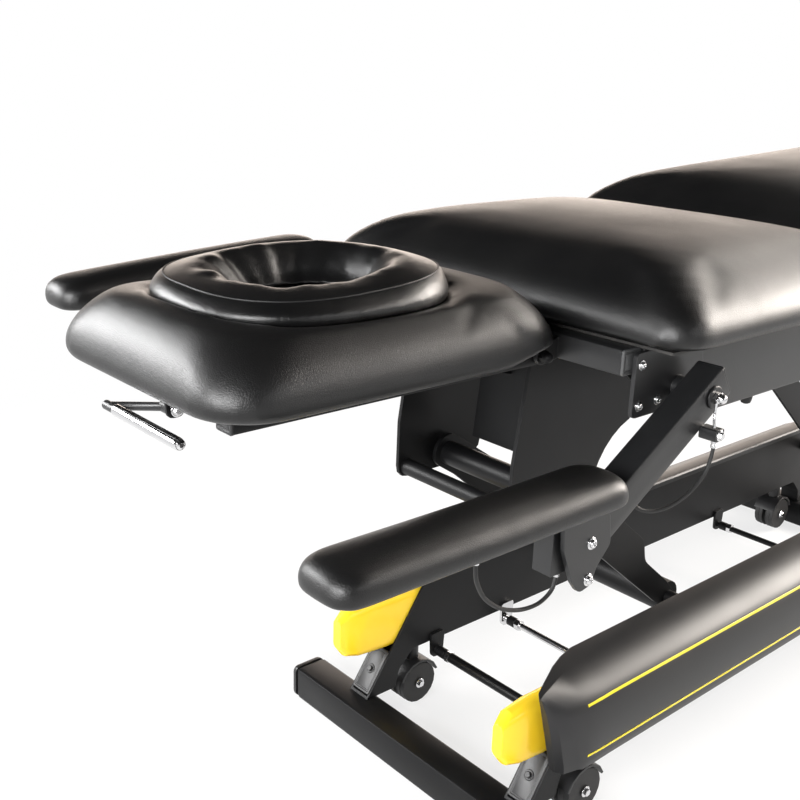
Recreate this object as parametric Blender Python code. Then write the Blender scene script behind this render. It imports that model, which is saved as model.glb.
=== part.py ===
"""Electric massage table: parallelogram lift, tilting head and leg sections and two armrests.

Axes: X runs from the head end to the foot end, Y across the table, Z up, metres.
Lengths along X are first measured from the head edge of the middle cushion and are then
moved so that the world origin lies on the floor under the middle of the table.
"""
import math

import bmesh
import bpy
from mathutils import Matrix, Vector

# Whole table
CENTRE_X = 0.46505
DECK_TOP = 0.752
GAP = 0.0003
TURN_GAP = 0.0004
LEVEL_GAP = 0.0012

# Lift linkage: lower and upper pivots of the head arm, and the step to the foot arm
LOWER_PIVOT = (0.410, 0.215)
UPPER_PIVOT = (0.067, DECK_TOP - 0.257)
ARM_PITCH = 0.925
ARM_PLATE_Y = 0.098
ARM_PLATE_THICK = 0.006
STUB_RADIUS = 0.0125
UPPER_TUBE_RADIUS = 0.019
LOWER_TUBE_RADIUS = 0.028
LEVER_RADIUS = 0.090
LEVER_ANGLE = 66.4
LEVER_SLOT = 0.0065

# Base
BEAM_INNER_Y = 0.158
BEAM_WIDTH = 0.045
BEAM_WALL = 0.004
BEAM_TOP = 0.250
BEAM_BOTTOM = 0.120
BEAM_HEAD_X = -0.040
BEAM_FOOT_X = LOWER_PIVOT[0] + ARM_PITCH + 0.065
FOOT_TUBE_HEIGHT = 0.058
FOOT_TUBE_WIDTH = 0.060
FOOT_TUBE_HALF = 0.312
FOOT_HEAD_X = -0.045
FOOT_FOOT_X = BEAM_FOOT_X - 0.028
COVER_OUTER_Y = 0.250
COVER_WALL = 0.004
CASTOR_RADIUS = 0.037
CASTOR_CLEAR = 0.005
CASTOR_X = (0.082, BEAM_FOOT_X - 0.116)
CASTOR_Y = 0.186
ROD_HEIGHT = 0.100

# Lift drive
DRIVE_PIVOT = (LOWER_PIVOT[0] + ARM_PITCH - 0.295, 0.200)
DRIVE_Y = -0.131
DRIVE_PIN_RADIUS = 0.006
DRIVE_BARREL_RADIUS = 0.021
DRIVE_ROD_RADIUS = 0.010

# Deck
RAIL_Y = 0.230
RAIL_WIDTH = 0.040
RAIL_HEIGHT = 0.115
RAIL_BOTTOM = DECK_TOP - RAIL_HEIGHT
RAIL_HEAD_X = 0.0345
RAIL_FOOT_X = UPPER_PIVOT[0] + ARM_PITCH + 0.068
RAIL_WALL = 0.003
DROP_PLATE_Y = 0.114
DROP_PLATE_THICK = 0.006
DROP_BOTTOM = UPPER_PIVOT[1] - 0.027

# Cushions
MID_LENGTH = 0.584
MID_HALF_WIDTH = 0.347
MID_HEIGHT = 0.085
LEG_HEIGHT = 0.084
CROWN = 0.033
PAD_FULLNESS = 2.75
ARM_PAD_FULLNESS = 3.4
PAD_CORNER = 0.042
MID_HEAD_X = 0.006
HEAD_FRONT_X = -0.526
HEAD_REAR_X = -0.0135
HEAD_HALF_WIDTH = 0.203
HEAD_BOTTOM = DECK_TOP - 0.0038
HEAD_HEIGHT = 0.074
HEAD_LIP = 0.0165
FACE_X = -0.290
FACE_HALF = (0.172, 0.153)
FACE_HOLE_HALF = (0.074, 0.056)
FACE_RECESS = 0.016
FACE_RISE = 0.033
ARM_PAD_HALF = (0.2145, 0.044)
ARM_PAD_HEIGHT = 0.034
ARM_PAD_Y = 0.321
LEG_LENGTH = 0.852

# Head section
HEAD_HINGE = (-0.030, DECK_TOP - 0.026)
HEAD_RAIL_Y = 0.1225
HEAD_RAIL_SIZE = 0.030
HEAD_STRUT_DECK = (0.045, DECK_TOP - 0.084)
HEAD_STRUT_HEAD = (-0.222, DECK_TOP - 0.054)
LEVER_HINGE = (-0.473, DECK_TOP - 0.051)
STRUT_RADIUS = 0.011
STRUT_ROD_RADIUS = 0.005
STRUT_PIN_RADIUS = 0.004
STRUT_SLOT = 0.0065

# Leg section
LEG_HINGE = (MID_HEAD_X + MID_LENGTH + 0.020, DECK_TOP + 0.016)
LEG_REST_TILT = 3.2
LEG_STRUT_LEG = (UPPER_PIVOT[0] + ARM_PITCH - 0.1307, DECK_TOP)
LEG_STRUT_DECK = (LEG_STRUT_LEG[0] - 0.1863, DECK_TOP - 0.092)

# Armrests, drawn lowered; the left one is then raised
ARMREST_PIVOT = (0.105, DECK_TOP - 0.062)
ARMREST_PAD_PIVOT = (-0.117, DECK_TOP - 0.200)
ARMREST_Y = 0.310
ARMREST_TUBE = (0.040, 0.046)
ARMREST_RAISE = 38.5
ARMREST_LEVEL_RATIO = -1.10
ARMREST_PAD_X = -0.2955
ARMREST_PAD_SETBACK_LEFT = 0.085
ARMREST_PAD_BOTTOM = DECK_TOP - 0.150
CABLE_RADIUS = 0.0025
CABLE_BLOCK_Z = DECK_TOP - 0.1125

MATERIALS = {
    "black_steel": ((0.012, 0.012, 0.014), 0.42, 0.3),
    "bright_steel": ((0.62, 0.62, 0.63), 0.22, 1.0),
    "black_leather": ((0.010, 0.010, 0.011), 0.40, 0.0),
    "black_plastic": ((0.014, 0.014, 0.016), 0.45, 0.0),
    "yellow_plastic": ((0.80, 0.50, 0.02), 0.35, 0.0),
    "plywood": ((0.020, 0.018, 0.016), 0.60, 0.0),
    "grey_aluminium": ((0.35, 0.36, 0.37), 0.38, 1.0),
    "black_rubber": ((0.015, 0.015, 0.015), 0.70, 0.0),
}


def clear_scene():
    """Remove every object, so that the file holds only this part."""
    for item in list(bpy.data.objects):
        bpy.data.objects.remove(item, do_unlink=True)


def material(name):
    """Return the named material, made on first use."""
    found = bpy.data.materials.get(name)
    if found:
        return found
    colour, rough, metal = MATERIALS[name]
    made = bpy.data.materials.new(name)
    made.use_nodes = True
    shader = made.node_tree.nodes["Principled BSDF"]
    shader.inputs["Base Color"].default_value = (*colour, 1.0)
    shader.inputs["Roughness"].default_value = rough
    shader.inputs["Metallic"].default_value = metal
    return made


def turn_about(pivot, degrees):
    """Matrix that turns about the Y line through pivot (x, z); positive lifts the head side."""
    there = Matrix.Translation((pivot[0], 0.0, pivot[1]))
    return there @ Matrix.Rotation(math.radians(degrees), 4, "Y") @ there.inverted()


def build(name, mesh_parts, slot, pivot=None, move=None, bevel=0.0, segments=2):
    """Make one object from bmesh solids that are fused, with its origin on its pivot.

    mesh_parts is one bmesh or a list of them; the first is the main solid and each
    later one is given as ("add", bmesh) or ("cut", bmesh).
    """
    parts = mesh_parts if isinstance(mesh_parts, list) else [mesh_parts]
    thing = as_object(name, parts[0])
    for action, tool_mesh in parts[1:]:
        apply_boolean(thing, as_object(name + "_tool", tool_mesh), action)
    if move is not None:
        thing.data.transform(move)
    thing.data.transform(Matrix.Translation((-CENTRE_X, 0.0, 0.0)))
    if pivot is not None:
        spot = Vector((pivot[0] - CENTRE_X, pivot[1], pivot[2]))
        thing.data.transform(Matrix.Translation(-spot))
        thing.location = spot
    if bevel > 0.0:
        edge = thing.modifiers.new("edges", "BEVEL")
        edge.width = bevel
        edge.segments = segments
        edge.limit_method = "ANGLE"
        edge.angle_limit = math.radians(40.0)
    thing.data.materials.clear()
    thing.data.materials.append(material(slot))
    return thing


def as_object(name, shape):
    """Put a bmesh into a new object of the scene."""
    bmesh.ops.recalc_face_normals(shape, faces=shape.faces[:])
    mesh = bpy.data.meshes.new(name)
    shape.to_mesh(mesh)
    shape.free()
    thing = bpy.data.objects.new(name, mesh)
    bpy.context.scene.collection.objects.link(thing)
    return thing


def apply_boolean(thing, tool, action):
    """Fuse a tool object into a thing, or cut it away, and remove the tool."""
    step = thing.modifiers.new("step", "BOOLEAN")
    step.operation = "UNION" if action == "add" else "DIFFERENCE"
    step.solver = "EXACT"
    step.object = tool
    graph = bpy.context.evaluated_depsgraph_get()
    result = bpy.data.meshes.new_from_object(thing.evaluated_get(graph))
    thing.modifiers.remove(step)
    thing.data = result
    bpy.data.objects.remove(tool, do_unlink=True)


def loft(rings):
    """Closed solid through rings of equal length, with flat ends."""
    shape = bmesh.new()
    rows = [[shape.verts.new(point) for point in ring] for ring in rings]
    count = len(rows[0])
    for lower, upper in zip(rows, rows[1:]):
        for i in range(count):
            j = (i + 1) % count
            shape.faces.new((lower[i], lower[j], upper[j], upper[i]))
    shape.faces.new(list(reversed(rows[0])))
    shape.faces.new(rows[-1])
    return shape


def loop_loft(rings):
    """Closed ring-shaped solid: the last ring joins the first again."""
    shape = bmesh.new()
    rows = [[shape.verts.new(point) for point in ring] for ring in rings]
    count = len(rows[0])
    for lower, upper in zip(rows, rows[1:] + rows[:1]):
        for i in range(count):
            j = (i + 1) % count
            shape.faces.new((lower[i], lower[j], upper[j], upper[i]))
    return shape


def block(x_range, y_range, z_range):
    """Plain box."""
    low, high = z_range
    corners = [(x_range[0], y_range[0]), (x_range[1], y_range[0]), (x_range[1], y_range[1]),
               (x_range[0], y_range[1])]
    return loft([[(x, y, z) for x, y in corners] for z in (low, high)])


def plate(outline, y_range):
    """Solid between two Y values over an outline of (x, z) points."""
    return loft([[(x, y, z) for x, z in outline] for y in y_range])


def rod(start, end, radius, sides=16):
    """Round bar between two points."""
    first = Vector(start)
    axis = Vector(end) - first
    side = axis.orthogonal().normalized()
    other = axis.normalized().cross(side)
    rings = []
    for place in (first, first + axis):
        ring = []
        for i in range(sides):
            angle = 2.0 * math.pi * i / sides
            ring.append(place + side * (radius * math.cos(angle)) + other * (radius * math.sin(angle)))
        rings.append(ring)
    return loft(rings)


def cross_rod(spot, y_range, radius, sides=16):
    """Round bar along Y through an (x, z) spot."""
    return rod((spot[0], y_range[0], spot[1]), (spot[0], y_range[1], spot[1]), radius, sides)


def rounded_box_outline(half_a, half_b, radius, per_corner=4, centre=(0.0, 0.0)):
    """Points round a rectangle with rounded corners, counted the same way for every size."""
    points = []
    for corner, (sign_a, sign_b) in enumerate(((1, 1), (-1, 1), (-1, -1), (1, -1))):
        for i in range(per_corner):
            angle = math.radians(90.0 * corner + 90.0 * i / (per_corner - 1))
            a = sign_a * (half_a - radius) + radius * math.cos(angle)
            b = sign_b * (half_b - radius) + radius * math.sin(angle)
            points.append((centre[0] + a, centre[1] + b))
    return points


def square_tube(axis, along, centre, size, wall, radius=0.004):
    """Hollow rectangular tube along X or Y; size is (across, height) and centre the other two coordinates."""
    outer = rounded_box_outline(size[0] / 2, size[1] / 2, radius, 3, centre)
    inner_radius = max(radius - wall, 0.0008)
    inner = rounded_box_outline(size[0] / 2 - wall, size[1] / 2 - wall, inner_radius, 3, centre)
    rings = []
    for outline, place in ((outer, along[0]), (outer, along[1]), (inner, along[1]), (inner, along[0])):
        if axis == "X":
            rings.append([(place, a, b) for a, b in outline])
        else:
            rings.append([(a, place, b) for a, b in outline])
    return loop_loft(rings)


def rounded(points, radius, steps=3):
    """Round the corners of an (x, z) outline; radius is one value or one for each corner."""
    radii = radius if isinstance(radius, (list, tuple)) else [radius] * len(points)
    out = []
    for i, corner in enumerate(points):
        here = Vector(corner)
        before = Vector(points[i - 1]) - here
        after = Vector(points[(i + 1) % len(points)]) - here
        angle = before.angle(after)
        if radii[i] <= 0.0 or angle > math.radians(177.0):
            out.append(tuple(here))
            continue
        reach = min(radii[i] / math.tan(angle / 2), 0.48 * before.length, 0.48 * after.length)
        first = here + before.normalized() * reach
        last = here + after.normalized() * reach
        for k in range(steps + 1):
            t = k / steps
            out.append(tuple(first * (1 - t) ** 2 + here * (2 * t * (1 - t)) + last * t ** 2))
    return out


def along_line(start, end, forward, sideways):
    """Point at a distance along and beside the line from start to end, both (x, z)."""
    base = Vector(start)
    way = (Vector(end) - base).normalized()
    return tuple(base + way * forward + Vector((-way.y, way.x)) * sideways)


def arc(centre, radius, first, last, steps):
    """Points on a circle of the XZ plane, angles in degrees."""
    points = []
    for i in range(steps + 1):
        angle = math.radians(first + (last - first) * i / steps)
        points.append((centre[0] + radius * math.cos(angle), centre[1] + radius * math.sin(angle)))
    return points


def cushion_rings(half, radius, height, crown, centre, bottom, per_corner=8, fullness=2.5, tuck=0.010):
    """Rings of an upholstered pad: drawn in at its lower edge, then one smooth dome to its crest."""
    least = min(half)
    belt = 0.16 * height
    rise = height + crown - belt
    rings = [(tuck, 0.0), (0.25 * tuck, 0.40 * belt)]
    for share in (0.0, 0.012, 0.042, 0.09, 0.16, 0.26, 0.40, 0.57, 0.76, 0.98):
        dome = (1.0 - (1.0 - share) ** fullness) ** (1.0 / fullness)
        rings.append((share * least, belt + rise * dome))
    out = []
    for inset, level in rings:
        round_radius = max(radius - 0.25 * inset, 0.7 * radius + 0.6 * (inset - 1.2 * radius))
        round_radius = min(round_radius, least - inset - 0.0005)
        outline = rounded_box_outline(half[0] - inset, half[1] - inset, round_radius, per_corner, centre)
        out.append([(x, y, bottom + level) for x, y in outline])
    return out


def beam_outline(inset=0.0):
    """Side outline of a base beam: sloped head end, raised belly, a leg at each end."""
    low = FOOT_TUBE_HEIGHT + GAP
    points = [
        (BEAM_HEAD_X, low), (0.022, low), (0.030, 0.090), (0.060, BEAM_BOTTOM),
        (BEAM_FOOT_X - 0.082, BEAM_BOTTOM), (BEAM_FOOT_X - 0.052, 0.090), (BEAM_FOOT_X - 0.046, low),
        (BEAM_FOOT_X, low), (BEAM_FOOT_X, BEAM_TOP), (0.092, BEAM_TOP),
    ]
    if inset > 0.0:
        middle = 0.5 * (BEAM_TOP + BEAM_BOTTOM)
        shifted = []
        for x, z in points:
            up = -inset if z > middle else inset
            back = -inset if x > BEAM_FOOT_X - 0.02 else 0.0
            shifted.append((x + back, z + up))
        shifted[0] = (BEAM_HEAD_X - 0.03, low + inset)
        shifted[-1] = (0.092 - 0.03, BEAM_TOP - inset)
        points = shifted
    return rounded(points, [0, 0.006, 0.02, 0.02, 0.02, 0.02, 0.006, 0, 0.006, 0])


def build_base(side, name):
    """Side beam, its cover and its yellow end plug, for side +1 or -1."""
    inner = side * BEAM_INNER_Y
    outer = side * (BEAM_INNER_Y + BEAM_WIDTH)
    wall = side * BEAM_WALL
    cutters = [("cut", plate(beam_outline(BEAM_WALL), (inner + wall, outer - wall)))]
    for offset in (0.0, ARM_PITCH):
        spot = (LOWER_PIVOT[0] + offset, LOWER_PIVOT[1])
        cutters.append(("cut", cross_rod(spot, (inner - wall, inner + 2 * wall), STUB_RADIUS + TURN_GAP)))
    build("base_beam_" + name, [plate(beam_outline(), (inner, outer))] + cutters, "black_steel")
    build("base_cover_" + name, cover_solid(side), "black_plastic")
    build("beam_plug_" + name, plug_solid(side), "yellow_plastic")


def cover_section(inner, reach, top_drop):
    """Cross-section (y, z) of a base cover between its inner top edge and its outer face."""
    span = reach - inner
    leg = max(BEAM_INNER_Y + BEAM_WIDTH + GAP, inner + 0.0005)
    top = BEAM_TOP + 0.012 - top_drop
    return [
        (inner, BEAM_TOP + GAP), (inner, top - 0.003), (inner + 0.03 * span, top), (inner + 0.30 * span,
                                                            top),
        (inner + 0.80 * span, top - 0.022), (inner + 0.955 * span, top - 0.043), (inner + span,
                                                            top - 0.075),
        (inner + 0.985 * span, BEAM_BOTTOM + 0.020), (inner + 0.93 * span, BEAM_BOTTOM + 0.006),
        (leg, BEAM_BOTTOM + 0.006), (leg, BEAM_TOP + GAP),
    ]


def cover_solid(side):
    """Fairing over a beam with a rounded nose at each end, hollow on the beam's outer side."""
    straight = (BEAM_INNER_Y - 0.002, COVER_OUTER_Y)
    end = BEAM_FOOT_X + 0.020
    stations = (
        (-0.044, 0.2130, 0.2260, 0.006), (-0.036, 0.2050, 0.2360, 0.004), (-0.012, 0.1930, 0.2435, 0.002),
        (0.026, 0.1740, 0.2485, 0.0), (0.055, 0.1630, COVER_OUTER_Y, 0.0), (0.085, *straight, 0.0),
        (end - 0.085, *straight, 0.0), (end - 0.045, 0.1600, 0.2485, 0.0),
        (end - 0.018, 0.1720, 0.2435, 0.002),
        (end - 0.006, 0.1900, 0.2360, 0.004), (end, 0.2080, 0.2260, 0.006),
    )
    rings = []
    for x, inner, outer, drop in stations:
        back = 0.035 if x < 0.0 else 0.0
        ring = []
        for y, z in cover_section(inner, outer, drop):
            ring.append((x + back * (BEAM_TOP - z) / (BEAM_TOP - BEAM_BOTTOM), side * y, z))
        rings.append(ring)
    hollow = []
    for x in (0.040, BEAM_FOOT_X - 0.050):
        inside = [
            (BEAM_INNER_Y + BEAM_WIDTH - 0.02, BEAM_BOTTOM - 0.03),
            (COVER_OUTER_Y - COVER_WALL - 0.007, BEAM_BOTTOM - 0.03),
            (COVER_OUTER_Y - COVER_WALL - 0.002, BEAM_TOP - 0.066),
            (COVER_OUTER_Y - COVER_WALL - 0.008, BEAM_TOP - 0.040),
            (BEAM_INNER_Y + BEAM_WIDTH + 0.018, BEAM_TOP - 0.018),
            (BEAM_INNER_Y + BEAM_WIDTH - 0.02, BEAM_TOP - 0.018),
        ]
        hollow.append([(x, side * y, z) for y, z in inside])
    return [loft(rings), ("cut", loft(hollow))]


def plug_solid(side):
    """Yellow plug in the open sloped head end of a beam, with an upright rounded nose."""
    middle = side * (BEAM_INNER_Y + BEAM_WIDTH / 2)
    half = BEAM_WIDTH / 2 - BEAM_WALL - GAP
    tall = 0.049
    centre = BEAM_TOP - BEAM_WALL - 0.014 - tall
    rings = []
    slope = (0.092 - BEAM_HEAD_X) / (BEAM_TOP - FOOT_TUBE_HEIGHT)
    front = BEAM_HEAD_X - 0.048
    for out, upright, share in ((-0.030, 0.0, 1.0), (0.012, 0.0, 1.0), (0.012, 0.60, 0.97), (0.012, 0.88, 0.84),
                                (0.012, 1.0, 0.52)):
        ring = []
        for a, b in rounded_box_outline(half * share, tall * share, 0.016 * share, 4):
            z = centre + b + 0.006 * upright
            sloped = BEAM_HEAD_X + slope * (z - FOOT_TUBE_HEIGHT) - out
            ring.append((sloped * (1.0 - upright) + front * upright, middle + a, z))
        rings.append(ring)
    return loft(rings)


def build_feet():
    """Transverse foot tubes on which the table stands."""
    for name, x in (("head", FOOT_HEAD_X), ("foot", FOOT_FOOT_X)):
        shape = block(
            (x - FOOT_TUBE_WIDTH / 2, x + FOOT_TUBE_WIDTH / 2),
            (-FOOT_TUBE_HALF, FOOT_TUBE_HALF), (0.0, FOOT_TUBE_HEIGHT))
        build("foot_tube_" + name, shape, "black_steel", bevel=0.007, segments=2)


def build_tie_rods():
    """Rods between the beams: two black ties under the belly and one bright pedal shaft."""
    inside = BEAM_INNER_Y - GAP
    for name, x, radius, slot in (
            ("tie_rod_head", 0.114, 0.0085, "black_steel"), ("tie_rod_middle", 0.290, 0.006,
                                                            "bright_steel"),
            ("tie_rod_foot", DRIVE_PIVOT[0] - 0.055, 0.006, "black_steel")):
        parts = [cross_rod((x, ROD_HEIGHT), (-inside + 0.001, inside - 0.001), radius)]
        for side in (-1, 1):
            high, low = BEAM_BOTTOM + 0.014, ROD_HEIGHT - 0.012
            lug = rounded([(x - 0.016, high), (x - 0.013, low), (x + 0.013, low), (x + 0.016, high)],
                          [0.006, 0.011, 0.011, 0.006])
            parts.append(("add", plate(lug, (side * (inside - 0.005), side * inside))))
        build(name, parts, slot)


def build_castor(name, x, side):
    """Swivel fork and twin wheel of one castor, a little clear of the floor."""
    y = side * CASTOR_Y
    axle = CASTOR_RADIUS + CASTOR_CLEAR
    swivel = (x, y, axle)
    top = BEAM_BOTTOM - GAP
    reach = CASTOR_RADIUS + 0.003
    hood = []
    for point in arc((x, axle), reach + 0.004, 20.0, 160.0, 6):
        hood.append(point)
    for point in arc((x, axle), reach, 160.0, 20.0, 6):
        hood.append(point)
    half = 0.0255
    fork = [
        plate(hood, (y - half, y + half)),
        ("add", rod((x, y, axle + reach + 0.001), (x, y, top), 0.013)),
        ("add", plate(rounded([(x - 0.009, axle - 0.009), (x + 0.009, axle - 0.009),
                               (x + 0.009, axle + reach + 0.002),
                               (x - 0.009, axle + reach + 0.002)], 0.004), (y - 0.0025, y + 0.0025))),
        ("cut", cross_rod((x, axle), (y - 0.01, y + 0.01), 0.0054)),
    ]
    build("castor_fork_" + name, fork, "black_plastic", pivot=swivel)
    inner = 0.0045
    wheel = [cross_rod((x, axle), (y - half + 0.002, y - inner), CASTOR_RADIUS, 18),
             ("add", cross_rod((x, axle), (y - inner - 0.002, y + inner + 0.002), 0.005)),
             ("add", cross_rod((x, axle), (y + inner, y + half - 0.002), CASTOR_RADIUS, 18))]
    build("castor_wheel_" + name, wheel, "black_rubber", pivot=swivel)


def arm_outline(lower, upper):
    """Side outline of a lift arm plate: rounded ends and a wide bowed upper edge."""
    length = (Vector(upper) - Vector(lower)).length
    points = []
    for forward, sideways in (
            (-0.032, 0.012), (0.030, 0.0215), (length - 0.040, 0.0215), (length + 0.020, 0.028),
            (length + 0.034, 0.0), (length + 0.020, -0.028), (0.270, -0.047), (0.150, -0.047),
            (0.118, -0.021), (0.030, -0.020), (-0.032, -0.012)):
        points.append(along_line(lower, upper, forward, sideways))
    return rounded(points, 0.03)


def build_lift_arm(name, offset, lever):
    """Lift arm: two plates on a lower torsion tube and an upper pivot tube, with stub axles."""
    lower = (LOWER_PIVOT[0] + offset, LOWER_PIVOT[1])
    upper = (UPPER_PIVOT[0] + offset, UPPER_PIVOT[1])
    outside = ARM_PLATE_Y + ARM_PLATE_THICK
    parts = [cross_rod(lower, (-outside + 0.001, outside - 0.001), LOWER_TUBE_RADIUS, 20)]
    for side in (-1, 1):
        faces = (side * ARM_PLATE_Y, side * outside)
        parts.append(("add", plate(arm_outline(lower, upper), faces)))
    parts.append(("add", cross_rod(upper, (-outside + 0.001, outside - 0.001), UPPER_TUBE_RADIUS, 18)))
    stub_end = DROP_PLATE_Y + DROP_PLATE_THICK - 0.0005
    beam_end = BEAM_INNER_Y + BEAM_WALL + 0.002
    for spot, end in ((upper, stub_end), (lower, beam_end)):
        for side in (-1, 1):
            parts.append(("add", cross_rod(spot, (side * (outside - 0.002), side * end), STUB_RADIUS)))
    if lever:
        parts.extend(lever_parts(lower))
    build("lift_arm_" + name, parts, "black_steel", pivot=(lower[0], 0.0, lower[1]))


def lever_tip(lower):
    """Pin centre (x, z) of the drive lever at rest."""
    angle = math.radians(LEVER_ANGLE)
    return (lower[0] + LEVER_RADIUS * math.cos(angle), lower[1] + LEVER_RADIUS * math.sin(angle))


def lever_parts(lower):
    """Two lever cheeks on the torsion tube with an oversize pin hole, which leaves the loop open."""
    tip = lever_tip(lower)
    parts = []
    outline = []
    for forward, sideways in ((0.0, -0.024), (LEVER_RADIUS + 0.022, -0.021),
                              (LEVER_RADIUS + 0.022, 0.021), (0.0, 0.024)):
        outline.append(along_line(lower, tip, forward, sideways))
    hole = DRIVE_PIN_RADIUS + LEVER_SLOT
    for side in (-1, 1):
        parts.append(("add", plate(rounded(outline, [0, 0.018, 0.018, 0]),
                                   (DRIVE_Y + side * 0.013, DRIVE_Y + side * 0.018))))
    parts.append(("cut", cross_rod(tip, (DRIVE_Y - 0.025, DRIVE_Y + 0.025), hole, 20)))
    return parts


def build_drive():
    """Linear drive beside the right beam: its bracket, barrel with gearbox, motor and thrust rod."""
    x, z = DRIVE_PIVOT
    tip = lever_tip((LOWER_PIVOT[0] + ARM_PITCH, LOWER_PIVOT[1]))
    reach = (Vector(tip) - Vector(DRIVE_PIVOT)).length
    pivot = (x, DRIVE_Y, z)
    inside = BEAM_INNER_Y - GAP
    beam = [block((x - 0.030, x + 0.030), (-inside, -inside + 0.0035), (0.140, 0.226)),
            ("add", block((x - 0.022, x + 0.016), (-inside + 0.001, DRIVE_Y + 0.019), (0.150, 0.168)))]
    cheek = rounded([(x - 0.022, 0.152), (x + 0.016, 0.152), (x + 0.014, z + 0.014), (x - 0.014, z + 0.014)],
                    [0, 0, 0.01, 0.01])
    for side in (-1, 1):
        beam.append(("add", plate(cheek, (DRIVE_Y + side * 0.014, DRIVE_Y + side * 0.019))))
    beam.append(("add", cross_rod(DRIVE_PIVOT, (DRIVE_Y - 0.0215, DRIVE_Y + 0.0215), DRIVE_PIN_RADIUS, 18)))
    build("drive_bracket", beam, "black_steel")

    def on_axis(distance, drop=0.0):
        spot_x, spot_z = along_line(DRIVE_PIVOT, tip, distance, -drop)
        return (spot_x, DRIVE_Y, spot_z)

    def outline(points, radius):
        return rounded([along_line(DRIVE_PIVOT, tip, a, b) for a, b in points], radius)

    box = outline(((0.022, -0.058), (0.080, -0.058), (0.080, 0.024), (0.022, 0.024)), 0.006)
    eye = outline(((-0.014, -0.013), (0.030, -0.013), (0.030, 0.013), (-0.014, 0.013)),
                  [0.012, 0, 0, 0.012])
    barrel = [rod(on_axis(0.030), on_axis(reach - 0.110), DRIVE_BARREL_RADIUS, 20),
              ("add", plate(box, (DRIVE_Y - 0.0205, DRIVE_Y + 0.0205))),
              ("add", plate(eye, (DRIVE_Y - 0.012, DRIVE_Y + 0.012))),
              ("cut", cross_rod(DRIVE_PIVOT, (DRIVE_Y - 0.03, DRIVE_Y + 0.03),
                                DRIVE_PIN_RADIUS + TURN_GAP)),
              ("cut", rod(on_axis(0.100), on_axis(reach), DRIVE_ROD_RADIUS + TURN_GAP))]
    build("drive_barrel", barrel, "black_plastic", pivot=pivot)
    motor = rod(on_axis(0.080 + GAP, 0.040), on_axis(0.170, 0.040), 0.0175, 20)
    build("drive_motor", motor, "grey_aluminium", pivot=pivot, bevel=0.003)
    tongue = outline(((reach - 0.026, -0.011), (reach + 0.012, -0.011), (reach + 0.012, 0.011),
                      (reach - 0.026, 0.011)), 0.006)
    thrust = [rod(on_axis(0.176), on_axis(reach - 0.010), DRIVE_ROD_RADIUS),
              ("add", plate(tongue, (DRIVE_Y - 0.0115, DRIVE_Y + 0.0115))),
              ("add", cross_rod(tip, (DRIVE_Y - 0.0205, DRIVE_Y + 0.0205), DRIVE_PIN_RADIUS))]
    build("drive_rod", thrust, "bright_steel", pivot=pivot)


def drop_outline():
    """Side outline of a head drop plate: leaning head edge and an arch on the foot side."""
    points = [(-0.001, DECK_TOP - 0.0403), (-0.024, UPPER_PIVOT[1] + 0.065), (-0.025, DROP_BOTTOM),
              (0.128, DROP_BOTTOM)]
    points += arc((0.262, UPPER_PIVOT[1] - 0.025), 0.115, 172.0, 108.0, 6)
    points += [(0.270, DECK_TOP - 0.112), (0.270, DECK_TOP - 0.0403)]
    return rounded(points, [0, 0.05, 0.02, 0.02] + [0] * 7 + [0, 0])


def build_drop_brackets():
    """Plates that hang the lift pivots under the deck."""
    inner, outer = DROP_PLATE_Y, DROP_PLATE_Y + DROP_PLATE_THICK
    hole = STUB_RADIUS + TURN_GAP
    for side, name in ((1, "left"), (-1, "right")):
        shape = [plate(drop_outline(), (side * inner, side * outer)),
                 ("cut", cross_rod(UPPER_PIVOT, (side * (inner - 0.01), side * (outer + 0.01)), hole, 24))]
        build("drop_plate_" + name, shape, "black_steel")
    inside = inner - GAP
    build("drop_stiffener", cross_rod((-0.008, DROP_BOTTOM + 0.0165), (-inside, inside), 0.0125, 16),
          "black_steel")
    foot = (UPPER_PIVOT[0] + ARM_PITCH, UPPER_PIVOT[1])
    top = DECK_TOP - 0.040
    bracket = [square_tube("Y", (-RAIL_Y + GAP, RAIL_Y - GAP), (foot[0], DECK_TOP - 0.020),
                           (0.080, 0.040), 0.003)]
    for side in (-1, 1):
        outline = rounded([(foot[0] - 0.040, top + 0.002), (foot[0] - 0.036, DROP_BOTTOM),
                           (foot[0] + 0.036, DROP_BOTTOM),
                           (foot[0] + 0.040, top + 0.002)], [0, 0.03, 0.03, 0])
        bracket.append(("add", plate(outline, (side * inner, side * outer))))
    wide = hole + LEVEL_GAP
    bracket.append(("cut", cross_rod(foot, (-outer - 0.01, outer + 0.01), wide, 24)))
    build("drop_bracket_foot", bracket, "black_steel")


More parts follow.
